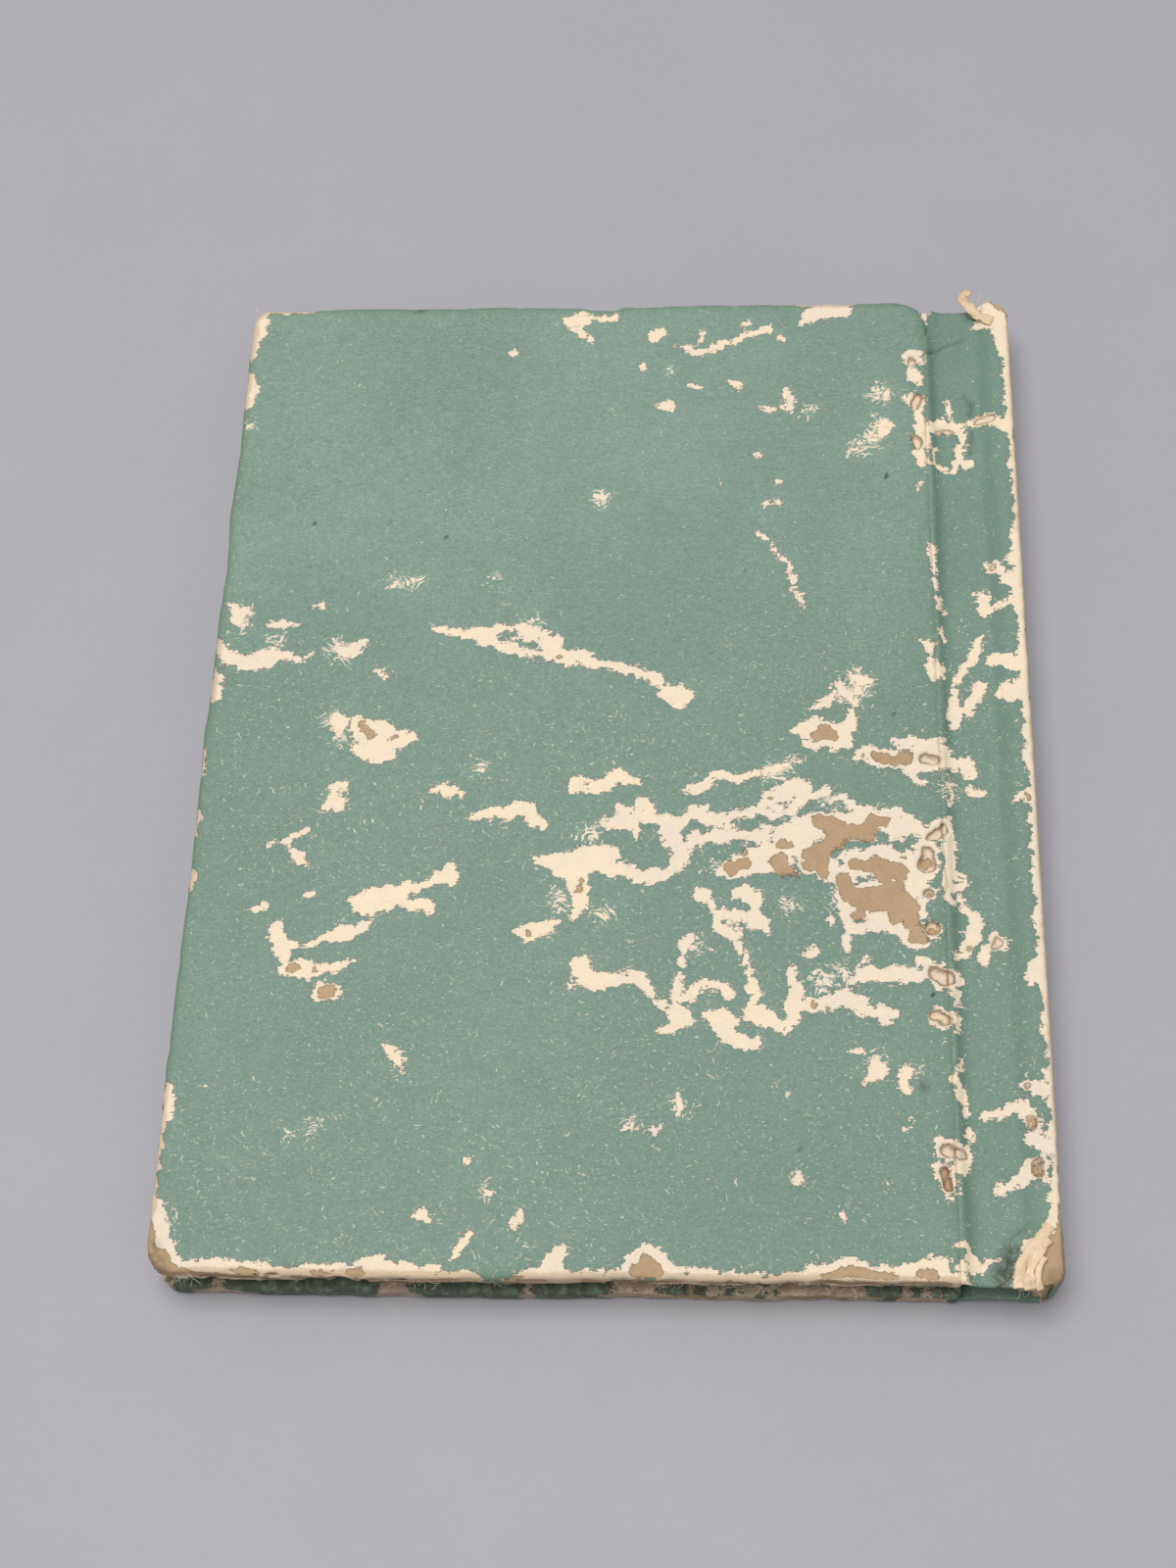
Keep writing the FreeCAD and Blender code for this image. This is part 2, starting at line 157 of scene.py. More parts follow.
# wear on the upward cover
# every mark is a brush stroke: rows of (x, y, radius) in mm on the flattened cover.
# Past an edge the cover carries on down its side, so y below -70 lies on the tail face.
backMarks = {
    "rubbed": [
        [(42.8, 16.8, 0.1), (42.9, 15.2, 0.1)], [(43, -4.5, 0.05), (43, -8, 0.12)],
        [(43.3, -46.5, 0.1), (43.3, -48.5, 0.05)],
        # fore-edge and its head corner
        [(-54, 70.5, 2.6), (-51, 70.4, 1.1), (-45.5, 70.3, 0.4)],
        [(-54.2, 69, 2.4), (-53.9, 65.5, 1.7), (-53.8, 62.3, 0.9)],
        [(-53.9, 58.4, 0.8), (-53.8, 56, 1.5), (-54, 53.8, 1)],
        [(-52.6, 20.6, 0.6), (-51.3, 20, 0.7), (-50, 20.1, 0.5)],
        [(-52, 18.9, 0.4), (-50.6, 18.6, 0.4)],
        [(-47.3, 18, 0.2), (-45, 18.2, 0.5), (-43.2, 18.1, 0.3)],
        [(-41, 20.7, 0.2), (-40.2, 20.9, 0.4)],
        [(-38.4, 15.7, 0.2), (-36.8, 14, 0.5), (-35, 14.3, 0.8), (-33.8, 15, 0.3)],
        [
            (-53.8, 14.8, 0.9), (-51.8, 12.8, 0.9), (-50, 11.8, 0.9), (-48, 12, 0.8),
            (-45, 12.9, 0.5), (-41, 13.2, 0.2)],
        [(-48.8, 12.6, 0.4), (-46.4, 13.8, 0.5), (-44.2, 13.2, 0.3)],
        [(-53.8, 10.4, 0.6), (-53.4, 8.5, 1.1), (-53.5, 6.6, 0.5)],
        [(-31.9, 10.6, 0.3), (-30.7, 10.4, 0.4)], [(-53.9, -1.2, 0.5), (-53.9, -4, 0.5)],
        [(-54, -10.2, 0.5), (-54, -12.8, 0.4)], [(-54, -18.4, 0.4), (-54, -19.8, 0.6)],
        # head edge
        [(-8, 68, 0.5), (-7.3, 67.5, 1), (-6.2, 67.3, 0.8)],
        [(-6.3, 68.6, 0.4), (-4, 68, 0.25), (-1.6, 68.4, 0.6)],
        [(-7.3, 66.3, 0.4), (-4.9, 64, 0.15)], [(-16.2, 62.1, 0.4), (-15.7, 62, 0.3)],
        [(25.2, 66.8, 0.6), (26.6, 68.3, 1.3), (28.6, 69.1, 1.3), (30.6, 68.7, 1)],
        [(25, 70.4, 1), (31, 70.4, 1)], [(4.2, 64.8, 1), (5.3, 65.2, 0.6)],
        [(10.6, 63.5, 0.2), (11, 64.6, 0.3)],
        [
            (7.6, 62.5, 0.15), (9.5, 62, 0.25), (11.5, 62, 0.3), (13.6, 63.1, 0.25),
            (18.4, 64.8, 0.3), (20.4, 65.7, 0.2)],
        [(17, 66, 0.2), (17.6, 66.6, 0.2)], [(21.6, 64.2, 0.25), (22.2, 63.9, 0.2)],
        [(2.3, 59.8, 0.2), (2.7, 59.3, 0.2)], [(9.3, 56, 0.15), (10.4, 55.8, 0.3)],
        [(15.3, 56.3, 0.5), (16, 56.1, 0.4)], [(5.4, 52.8, 0.6), (6, 53, 0.8)],
        [
            (19.4, 52.2, 0.2), (21.5, 52.2, 0.3), (23.3, 52.3, 0.5), (23.6, 53.4, 0.4),
            (22.8, 54.2, 0.3), (23, 55.1, 0.4)],
        [(37, 54.3, 0.4), (36.6, 53.3, 0.3)], [(36.5, 49.8, 0.5), (35.6, 47.8, 0.6)],
        [(18.8, 44.4, 0.3)], [(13.6, 40.2, 0.2)], [(21.6, 40, 0.2)],
        [(19.2, 36.6, 0.1), (21.3, 36.9, 0.2)], [(41, 38.8, 0.3), (41.2, 39.4, 0.1)],
        [
            (18.7, 31.9, 0.1), (20.4, 29.9, 0.15), (22.3, 27.2, 0.15), (23.5, 24.8, 0.15),
            (25, 19.8, 0.05)],
        # long tapering tear across the middle
        [
            (-24.2, 17.6, 0.25), (-22.5, 16.9, 0.5), (-19.5, 16.3, 0.8), (-16.5, 16.3, 1.1),
            (-13, 16.6, 1), (-10.5, 16, 0.9), (-8, 15.3, 0.5)],
        [(-18, 15.1, 0.5), (-15, 14.4, 0.6), (-12, 13.6, 0.4), (-9.5, 13.2, 0.5)],
        [
            (-10.5, 15.4, 0.6), (-8.6, 13.9, 0.9), (-7, 12.8, 1), (-5, 13.1, 0.9),
            (-3.2, 12.3, 0.6), (1, 11.2, 0.4), (4.3, 10.3, 0.5), (6, 9.3, 0.4)],
        [(7, 7.8, 1), (8.2, 7, 1.5), (9.3, 6.9, 1)],
        [(-34, 3, 1), (-32.6, 1.8, 1.8), (-30.3, 1, 1.9), (-28, 0.9, 1.2), (-26.6, 0.8, 0.6)],
        [(-33.6, -0.8, 0.7), (-31.2, -1.4, 0.9), (-29.2, -1.5, 0.9)],
        [(-36.9, 4, 0.6), (-35.8, 1.8, 0.4)],
        # left half, below the middle
        [(-36.4, -6.3, 0.6), (-34.9, -6, 0.6)],
        [(-36.2, -7, 0.4), (-36.8, -8.6, 0.4), (-37.4, -9.6, 0.2)],
        [(-35.6, -7.3, 0.4), (-35.6, -9.2, 0.4)],
        [(-23.4, -6.4, 0.1), (-21.8, -6.5, 0.7), (-20.6, -6.9, 0.6), (-19.7, -7.4, 0.1)],
        [
            (-17.9, -10.5, 0.3), (-15.5, -10, 0.7), (-13, -9.5, 0.9), (-11, -9.7, 0.9),
            (-9.7, -10.7, 0.8), (-9.1, -11.5, 0.4)],
        [(-44, -14.1, 0.1), (-42, -13.7, 0.3), (-39.2, -12.3, 0.2)],
        [(-41.5, -14.3, 0.1), (-40.5, -15.7, 0.5), (-39.2, -16.9, 0.3)],
        [
            (-33, -22, 0.4), (-31, -22.3, 1.4), (-29, -22, 1.5), (-27.3, -21.2, 1.2),
            (-25.3, -20.2, 0.6), (-23, -19.3, 0.3)],
        [(-30.6, -23.7, 0.6)], [(-22.3, -18.7, 0.8), (-21, -18.3, 1.2), (-19.8, -19.1, 0.6)],
        [(-26, -22.4, 0.7), (-24, -22.9, 0.8), (-22.6, -22.9, 0.6)],
        [(-41.8, -25.6, 0.6), (-42, -27.2, 1.1), (-41, -28.7, 0.8), (-40.5, -30.2, 0.3)],
        [
            (-40.5, -28.3, 0.4), (-38, -27.9, 0.3), (-36, -27.1, 0.4), (-34, -26.5, 0.7),
            (-32.2, -26.4, 0.9), (-31.2, -25.7, 0.4)],
        [(-45.6, -23.4, 0.1), (-44.2, -22.9, 0.3), (-43.6, -22.7, 0.1)],
        [(-38.5, -21.2, 0.2), (-37.6, -20.9, 0.2)],
        [
            (-40.2, -31.4, 0.9), (-38.5, -31.3, 1.2), (-36.8, -31.6, 0.9), (-35, -30.9, 0.5),
            (-32, -30.6, 0.2)],
        [(-35.3, -34.2, 0.9), (-34, -34.4, 0.8)],
        [(-26.9, -41.5, 0.5), (-25.8, -43.2, 0.45), (-24.5, -44.8, 0.3)],
        [(-49, -46.7, 0.2), (-48.6, -46.8, 0.2)], [(-21.3, -62.2, 0.5), (-20.4, -62.8, 0.3)],
        [(-13.7, -59.4, 0.3)], [(-16.4, -55.8, 0.2)],
        [(-15.3, -64.6, 0.2), (-16.6, -66.2, 0.4), (-17.5, -67.7, 0.2)],
        [(-9.7, -62.3, 0.3), (-10.2, -64, 0.1)],
        # middle
        [
            (-5.4, -5.8, 0.5), (-4.3, -5.6, 1), (-2.8, -6, 0.7), (-1.2, -5.6, 0.9),
            (0.5, -4.7, 0.8), (1.8, -5.5, 0.4), (3.4, -5.9, 0.3)],
        [
            (-9.2, -16.5, 0.6), (-7.8, -16.6, 1.2), (-6, -17, 1.7), (-4, -16.9, 1.8),
            (-2, -16, 1.5), (-0.2, -15.4, 1.2)],
        [(-4.3, -18.7, 1.2), (-3.8, -20.6, 1.1), (-3.6, -22.5, 0.9), (-4.6, -24.4, 0.4)],
        [(-12, -26.2, 0.3), (-10.5, -26.3, 1.1), (-8.8, -25.8, 1), (-7, -25.4, 0.4)],
        [
            (-4.5, -30.5, 0.5), (-3.4, -31, 1.3), (-2.8, -32.4, 1.2), (-0.6, -32.6, 0.8),
            (2, -32.3, 0.5), (3.8, -32.5, 0.8), (5.4, -34.8, 0.3), (7, -35.8, 0.3)],
        [(-4.2, -33.2, 0.5)],
        # wedge under the board's joint edge and the strands round it
        [
            (22.5, 2, 0.3), (24.6, 2.3, 1.1), (26.6, 2.2, 1.8), (29, 1.4, 1.7), (30.7, 3, 0.8),
            (31, 4.2, 0.3)],
        [(24.6, 0.4, 0.3), (27, -0.3, 0.5), (30, 0, 0.6)],
        [(25.7, 5, 0.1), (27, 6, 0.4), (28.4, 7, 0.4)],
        [(29.2, 8.3, 0.5), (30.4, 7.4, 0.5), (31.2, 6.2, 0.4)],
        [(31.5, 9.4, 0.4), (33.2, 9.2, 0.4)], [(31.4, 10.8, 0.4)], [(31.8, 7.7, 0.6)],
        [
            (31.4, -1.7, 0.5), (33, -1.5, 1.2), (35.6, -1.9, 1.4), (38, -2.2, 1.6), (40.2, -1.9, 2),
            (41.8, -2, 1.9)],
        [(37.5, -4.1, 0.3), (39.9, -5.4, 0.4)], [(36, 0.3, 0.3), (39, 0.2, 0.6), (42, 0.5, 0.5)],
        # the large worn area
        [(9.9, -6.3, 0.4), (11, -6.5, 0.9), (11.9, -5.9, 0.7)],
        [
            (12.6, -5, 0.4), (14, -4.7, 0.6), (16, -5.3, 0.4), (18, -4.5, 0.5), (20, -3.7, 0.4),
            (22, -3.1, 0.2), (24.3, -2.3, 0.1)],
        [(19.7, -8.4, 0.8), (20.5, -7.4, 1.2), (22.5, -6.7, 1.4), (24.2, -6.1, 1)],
        [(23.2, -8.6, 0.6), (25.5, -7.4, 0.6), (27.6, -6.2, 0.4)],
        [
            (27.8, -8, 0.2), (29.4, -7.9, 0.3), (31, -9, 0.2), (34, -9.6, 0.3), (36, -9.5, 0.4),
            (38, -10.5, 0.6)],
        [(4, -8.6, 0.8), (4.9, -8.9, 0.8)], [(0.6, -9.5, 0.6), (2.3, -9.7, 0.4)],
        [
            (0, -10.8, 0.9), (2.5, -11, 0.8), (4.5, -10.5, 0.7), (6.5, -10.8, 0.8), (8.5, -11, 0.9),
            (10.5, -9.8, 0.8), (12.5, -10, 0.8), (15, -11, 0.7)],
        [(3.3, -11.5, 0.5), (3.4, -12.8, 0.2)],
        [
            (7.5, -12, 0.9), (7.9, -14, 1), (8.9, -15.7, 0.9), (8, -17.3, 0.8), (6, -18.3, 0.7),
            (4, -18.8, 0.8), (1.8, -17.8, 0.9), (-0.5, -17.2, 1)],
        [(5, -19.6, 0.4)],
        [
            (9.8, -14.3, 0.8), (11, -13.3, 0.7), (13, -12.8, 0.7), (15, -13, 0.8), (17, -13.2, 0.8),
            (19.5, -13, 0.8)],
        [
            (15, -11.5, 0.7), (17.5, -12.3, 0.9), (21, -12.5, 1.1), (24, -12, 1.5),
            (27, -11.8, 1.9), (31, -11.5, 1.9), (35, -11.5, 1.7), (38, -12, 1.5), (39.4, -14, 1.1)],
        [(15.5, -10, 0.5), (18, -9.5, 0.5), (21, -9.8, 0.5), (23, -10, 0.5)],
        [(24, -14, 1.9), (21.3, -15.6, 2.3), (17.3, -16.8, 1.7), (14.3, -18, 0.7)],
        [
            (25.5, -16, 2.2), (28, -17, 2.1), (31, -17.5, 2.8), (34.5, -17, 3), (37.4, -17, 2.1),
            (38.7, -20, 1.4)],
        [(31.6, -21.3, 2.9), (35, -22, 3.2), (37.6, -23, 1.8)],
        [(29.3, -20, 0.7), (29.5, -23, 0.7), (29.8, -26.5, 0.5), (29.9, -28.2, 0.2)],
        [(30.6, -25.4, 0.5), (34, -25.5, 0.5), (36.6, -26, 1.1), (38.4, -27.5, 0.8)],
        [
            (11, -20.8, 0.5), (12, -21.1, 0.7), (13, -22, 0.3), (13.7, -24, 0.2), (14.3, -26, 0.6),
            (16, -26.3, 0.4)],
        [(15.6, -21.5, 0.2), (16.6, -20.6, 0.5), (18.2, -21, 0.9), (18.3, -23, 0.4)],
        [
            (14.5, -23.5, 0.4), (16, -24, 0.6), (17.6, -23.9, 0.8), (18.7, -25.1, 0.8),
            (19.8, -26.2, 0.3)],
        [(15.6, -26.6, 0.35), (16.4, -29, 0.3), (17.1, -31, 0.2), (18.3, -34.8, 0.3)],
        [(9.8, -27.2, 0.4), (9.2, -28.6, 0.4), (9, -30.3, 0.4)],
        [(8.6, -32.3, 0.4), (8.2, -34.2, 0.4)],
        # lower cluster
        [(8.5, -35, 0.4), (11, -34.2, 0.6), (12.2, -33.4, 0.4)],
        [(8.6, -36.5, 1.1), (9.2, -37.5, 1.3), (8, -38.8, 0.5), (6.3, -39.6, 0.1)],
        [(12.3, -32.8, 0.4), (13.3, -33, 0.6), (14.6, -34.3, 0.5)],
        [
            (13, -37.4, 0.8), (14.5, -38, 1.6), (15.3, -39.7, 0.9), (17, -40.7, 0.8),
            (18.3, -40.6, 0.6)],
        [(17.5, -36, 0.9), (18.5, -37, 1.3), (20.5, -37.8, 1.1), (22.3, -38.9, 0.5)],
        [(23, -31, 0.2), (23, -33, 0.6), (23, -35, 1.1), (22.7, -37.5, 0.8)],
        [(24.5, -35.5, 0.8), (25.7, -35.7, 0.6)],
        [(27.5, -35.2, 0.9), (29.5, -35, 1.1), (31.5, -36, 1), (33.5, -37, 1), (34.8, -37.2, 0.7)],
        [
            (29.4, -33, 0.3), (31, -31.6, 0.9), (33.5, -31.6, 0.8), (35.5, -31.7, 0.9),
            (37.5, -32, 0.6), (39, -31.5, 0.4)],
        [(38, -30, 0.4), (39.5, -30.4, 0.4)], [(31, -30.2, 0.3), (32.5, -29.9, 0.2)],
        [(24.8, -28.9, 0.4), (25.8, -28.4, 0.3)], [(27.2, -24.2, 0.35)],
        [(32.5, -43.4, 0.7), (33.3, -44.2, 0.7), (32, -45.4, 0.4)],
        [(36, -43.8, 0.6), (35.9, -45.7, 0.8), (36.5, -46.6, 0.4)],
        [(30.2, -41.6, 0.3), (30.8, -41.5, 0.2)], [(8.9, -47.8, 0.3), (8.5, -49.4, 0.2)],
        [(2, -51.6, 0.1), (3.8, -50.9, 0.2)], [(5.2, -51.7, 0.1), (6.3, -51.3, 0.2)],
        [(28.3, -62, 0.35)], [(22.8, -58.1, 0.3), (23.5, -57, 0.2)],
        [(36.3, -50.7, 0.3), (37, -50.7, 0.2)],
        # gnawed line along the board's joint edge
        [(39.5, 59.6, 0.6), (40.4, 60.2, 1.1), (41, 60.9, 0.6)],
        [(40, 58, 0.7), (40.5, 57, 0.7), (41.3, 56.2, 0.4)],
        [
            (39.3, 53.8, 0.5), (40.7, 53.6, 0.9), (41, 52.3, 1), (40.9, 50.9, 0.5),
            (41.3, 48.6, 0.8), (41, 46.4, 0.9), (40.9, 44.6, 0.6), (41.3, 43.3, 0.5)],
        [
            (42, 29.6, 0.1), (42, 28, 0.15), (42.2, 25, 0.02), (42.2, 23, 0.1), (42.5, 21.4, 0.1),
            (43, 19.5, 0.02)],
        [(40.1, 15.2, 0.2), (41.3, 14.5, 0.4)],
        [(41.3, 12.8, 0.4), (41.8, 11.2, 0.6), (41.5, 9.9, 0.4)], [(42.3, 10, 0.3)],
        [(40, -12.4, 0.7), (41.6, -12, 1.1), (42.6, -11.2, 0.6)],
        [(42.7, -10.5, 0.2), (42.7, -14, 0.6), (42.6, -18, 0.7), (42.3, -21.6, 0.4)],
        [(40.2, -13.6, 0.8), (39.8, -16, 1.2), (40, -17.8, 0.8)], [(40, -20.8, 0.9)],
        [(40.2, -25.3, 1.1)], [(39.6, -30.9, 0.8), (41, -32, 1.3), (42.5, -32, 0.8)],
        [(42.6, -34, 0.4), (42.8, -35.6, 0.3)],
        [(40.2, -36.9, 0.9), (41.3, -38, 0.9), (42.5, -37, 0.4), (42.8, -39, 0.3)],
        [(40.4, -53.4, 0.9), (41.8, -53.8, 1), (43, -54, 0.8), (42.6, -56, 0.7)],
        [(40, -56, 0.9), (40.8, -58, 0.9), (40.8, -59.8, 0.4)],
        [(43, -42.7, 0.3), (43, -43.9, 0.4)],
        [(42.2, -45.3, 0.3), (42.8, -47, 0.5), (43.2, -48.8, 0.3)],
        [(43.2, -51, 0.2), (43.2, -53.4, 0.3)],
        # the pale joint strip
        [
            (42, 48.9, 0.7), (43.4, 49.4, 0.9), (45, 49.2, 0.9), (46.6, 48.3, 0.7), (47, 46.9, 0.6),
            (46.3, 45.7, 0.4), (46.1, 43.8, 0.35), (44.8, 42.3, 0.45), (43.3, 42.6, 0.4),
            (42.6, 43, 0.35), (42.5, 45.5, 0.2)],
        [(46.8, 43.2, 0.6), (47.3, 43.4, 0.5)],
        [(44.9, 53.4, 0.5), (45.1, 52.4, 0.4), (45.5, 50.7, 0.25)],
        [
            (45.8, 49.8, 0.2), (47.5, 49.8, 0.3), (48.6, 50, 0.7), (50.5, 49.8, 0.8),
            (51.7, 49.3, 0.6), (53.5, 48.7, 0.8)],
        [
            (47.6, 16.2, 0.3), (47.3, 14.8, 0.4), (46.5, 13, 0.4), (45.3, 11.2, 0.3),
            (44.3, 9.8, 0.3), (44.3, 8, 0.2)],
        [(44, 6.8, 0.8), (44, 5, 0.9), (44.2, 3.4, 0.6)],
        [(47.4, 9, 0.7), (47, 7.5, 0.6), (46.2, 6.2, 0.5), (46, 4.8, 0.3)],
        [(43.5, -1.8, 0.5), (44.8, -2.2, 0.8), (46, -3.5, 0.6)],
        [(45.8, -6, 0.3), (46.8, -6.2, 0.4), (47.6, -7, 0.4)],
        [(44.2, -17.9, 0.3), (44, -19.4, 0.5), (43, -19.3, 0.4)],
        [
            (43.7, -21, 0.3), (44.4, -23, 0.6), (45.5, -24.3, 0.8), (45.2, -26, 0.7),
            (44, -27.3, 0.8), (43.6, -28.6, 0.5)],
        [(46.2, -29.5, 0.5), (46.6, -28, 0.6), (48, -27, 0.9), (49.3, -26.8, 0.2)],
        [(41.9, -65.2, 0.4), (42.3, -65.5, 0.3)],
        [(43.2, -67, 0.7), (43, -68.2, 0.6), (41.8, -68, 0.3)],
        [(44, -68.3, 0.5), (44.6, -66.7, 0.2), (46, -66.6, 0.1)],
        [(42.2, 67.2, 0.25), (42.6, 68.4, 0.45)],
        # patches beside the spine and its rubbed arris
        [(48.9, 26.9, 0.5), (49.8, 26.5, 1), (50.9, 25.9, 0.5)],
        [(51.5, 24.6, 0.8), (52.9, 24.6, 1.1)], [(52.8, 27.5, 0.9), (53.4, 28.6, 0.6)],
        [
            (47.7, 22.9, 0.3), (48.5, 22, 0.4), (48.5, 20.3, 0.5), (50, 20.8, 0.5),
            (51.5, 21.3, 0.4), (53, 22, 0.6)],
        [(49.2, 12.8, 0.8), (50.6, 12.6, 0.7), (52.5, 12, 1)],
        [(50.2, 8, 0.9), (51.5, 7.8, 1.3), (53, 8, 1.4)],
        [(51.5, -7.5, 0.5), (52.5, -7.4, 0.7), (53.5, -6.8, 0.9)],
        [(52, -30.5, 0.6), (52.2, -32.2, 0.7), (53.2, -31, 1.2)],
        [(50.3, -45.6, 0.4), (51.2, -46, 0.7), (52.8, -46.3, 0.8)],
        [
            (45.6, -49.3, 0.4), (47.2, -49, 0.5), (48.8, -48.4, 0.6), (49.8, -48, 0.8),
            (50.8, -50, 0.9), (51.6, -51, 0.6)],
        [(51, -52.5, 0.6), (52.6, -53, 1)],
        [
            (46.8, -58.3, 0.4), (48.3, -57.3, 0.7), (50, -56.5, 1.1), (51, -55.5, 0.9),
            (51.8, -57, 0.5)],
        [
            (54.2, 66, 1.8), (54.2, 61, 1.6), (54.2, 52, 1.3), (54.2, 42, 1.2), (54.2, 32, 1.2),
            (54.2, 27, 1.7), (54.2, 16, 1.4), (54.2, 4, 1.6), (54.2, -8, 1.4), (54.2, -22, 1.2),
            (54.2, -30, 1.5), (54.2, -44, 1.2), (54.2, -56, 1.3), (54.2, -62, 1.6)],
        [(49.8, 66.4, 0.7), (51, 67.6, 1.3), (52.4, 66, 1.2), (52.9, 63.5, 1), (53, 61, 0.7)],
        [(50.3, 69.6, 1.2), (53, 69, 1.6)],
        [
            (52.4, -62.6, 0.6), (51.4, -65, 0.9), (50, -66.8, 1.1), (49.4, -68.6, 1.2),
            (49.4, -71, 1.6)],
        # fore-edge, tail corner and tail edge
        [
            (-54.3, -48, 0.8), (-53.9, -49.4, 1.1), (-54.3, -52, 0.8), (-54.6, -56, 0.9),
            (-54.5, -60, 1), (-54, -62.5, 1.4), (-53.6, -65, 1.5), (-52.4, -66.8, 1.5),
            (-51, -68.3, 1.4), (-50, -70, 1.6)],
        [(-48.6, -69.3, 0.6), (-45.2, -69.1, 0.7), (-42.4, -69.4, 0.4)],
        [(-36.5, -69.6, 0.4), (-33.8, -69.2, 0.5), (-31.3, -69.5, 0.3)],
        [(-53.6, -46.8, 0.6), (-53.1, -48.4, 1), (-53.4, -50.6, 0.8)],
        [(-53.3, -61.8, 0.8), (-52.6, -63.4, 0.9), (-51.9, -65.4, 0.6)], [(-53.7, -57, 0.5)],
        [(-29.6, -69.2, 0.5), (-26.4, -68.5, 0.8), (-24.9, -69.1, 0.5)],
        [(-22.6, -69.3, 0.8), (-19.8, -69, 0.6)],
        [
            (-50, -70.6, 2.1), (-45, -70.7, 2.3), (-42, -70.7, 2.3), (-38.5, -70.6, 1.6),
            (-36, -70.7, 1.4), (-32, -70.6, 1.9), (-27, -70.6, 2), (-25.8, -70.4, 2.3),
            (-24, -70.7, 1.5), (-20, -70.8, 1), (-17.5, -70.7, 1.4), (-15.5, -70.8, 1.3),
            (-14.5, -70.9, 0.6)],
        [(-10.5, -70.9, 0.8), (-8.5, -70.8, 1.7), (-5.5, -70.4, 2.1)],
        [(-6.4, -69, 1), (-5.2, -67.4, 0.9), (-5, -66.6, 0.4), (-3.9, -66.8, 0.4)],
        [(-3.5, -70.9, 1.3), (-1, -70.7, 1.6), (3, -70.7, 1.7)],
        [(3.2, -70, 1.5), (4.4, -68.2, 1.5), (5.5, -67, 1.2), (6.8, -68.2, 1.5), (8.3, -69.8, 1.3)],
        [
            (8, -70.8, 1.9), (12, -70.8, 1.6), (18, -70.9, 1.6), (23.5, -70.7, 1.7), (25, -70, 1.9),
            (28.5, -69, 1.7), (31, -69.6, 1.8), (34, -69.7, 1.5), (36.5, -69.3, 1.6),
            (39.4, -68.4, 1.6), (40.2, -67.2, 0.6)],
        [(40, -70, 1.6), (43, -71, 1)],
        # thin lip of cream along the foot of the tail face
        [
            (-52, -72.6, 0.3), (-30, -72.5, 0.35), (0, -72.6, 0.3), (26, -72.5, 0.35),
            (42, -72.5, 0.3)],
    ],
    "islands": [
        [(-15.6, 15.8, 0.5), (-13.8, 16.2, 0.5)], [(-12.2, 14.9, 0.4), (-10.6, 14.8, 0.3)],
        [(22.3, -8.9, 0.4)], [(12, -15.2, 1.1), (13.8, -15.8, 1.2), (12.4, -17.3, 0.8)],
        [(10.7, -15.8, 0.8)], [(11.3, -11.3, 0.3), (13.2, -11.7, 0.3)],
        [(15.8, -11.3, 0.5), (17.8, -11.5, 0.6), (19, -11.2, 0.3)],
        [(21, -11, 0.6), (22.8, -11, 0.4)], [(16, -13.8, 0.2), (17.6, -14, 0.3)],
        [(33.8, -13.1, 0.6), (35, -13.2, 0.4)], [(36.7, -14, 0.7), (38, -13.5, 0.7)],
        [(28.2, -15.3, 0.6), (28.8, -16.8, 0.4)], [(23.5, -16.2, 0.5), (23.7, -17.6, 0.3)],
        [(31.4, -18.9, 0.6), (32.6, -18.6, 0.4)], [(20.2, -12, 0.2)], [(-33, -22.8, 0.3)],
    ],
    "bare": [
        [(-8, 13.2, 0.4), (-7.4, 13.2, 0.3)], [(-10.2, 15.9, 0.2)],
        [(-33.2, 2.9, 0.5), (-32.4, 1.6, 0.6)], [(-29.4, 1.2, 0.4), (-28.8, 1.2, 0.3)],
        [(-39.3, -31.2, 0.75)], [(-36.8, -31.4, 0.45)], [(-34.9, -34.3, 0.75), (-34.4, -34.3, 0.7)],
        [(-3.1, -6, 0.35)], [(-4, -19.3, 0.3), (-4, -20.6, 0.3)], [(-10.2, -26.4, 0.35)],
        [(20.4, -7.6, 0.35)], [(25.4, -35.6, 0.35)],
        [(26.5, 1.4, 1), (27.4, 2.2, 1), (28.4, 1, 0.9)], [(32.2, -1.9, 0.4)],
        [(34, -1.5, 0.8), (36.3, -2.2, 1), (37.8, -1.9, 0.9)],
        [
            (26.3, -11, 0.8), (28, -11.5, 1.4), (29.4, -12.6, 1.3), (28, -14, 1.1),
            (26, -15.5, 1.5), (25.6, -17, 1.1), (27, -18, 0.6)],
        [(30.4, -12, 0.9), (32, -12.5, 1.2), (33.3, -11, 0.9), (34.6, -11, 0.7)],
        [(21.8, -14, 0.6), (22.8, -14.3, 0.5)],
        [(21.3, -16.3, 1), (21.5, -17.7, 1), (22.8, -18, 0.5)], [(16.5, -15.5, 0.5)],
        [(15.5, -17.3, 0.9), (17, -17, 0.6)],
        [(31, -16.8, 0.8), (33, -17, 1.4), (35, -17.8, 1.5), (36.6, -18.2, 1.1)],
        [
            (29.2, -18.7, 0.9), (30.4, -21, 1.2), (33, -21.8, 1.7), (35.5, -21.3, 2),
            (37, -22.5, 1.4), (37.5, -24.5, 1.2), (38.4, -26.4, 0.9)],
        [(31, -23.6, 0.9)], [(35.5, -24, 1)], [(37, -16, 0.6)], [(39.8, -16.4, 0.5)],
        [(40.1, -20.8, 0.3)], [(40.2, -25.4, 0.5)], [(40.6, -56.5, 0.5), (40.8, -58.6, 0.4)],
        [(52.4, -7.5, 0.45)], [(50.9, -50, 0.45), (51.4, -51, 0.4)],
        [(51.2, -55.3, 0.5), (51.2, -56.6, 0.4)], [(54.6, 50, 0.5), (54.7, 44, 0.4)],
        [(54.6, 20, 0.4), (54.7, 6, 0.4)],
        [
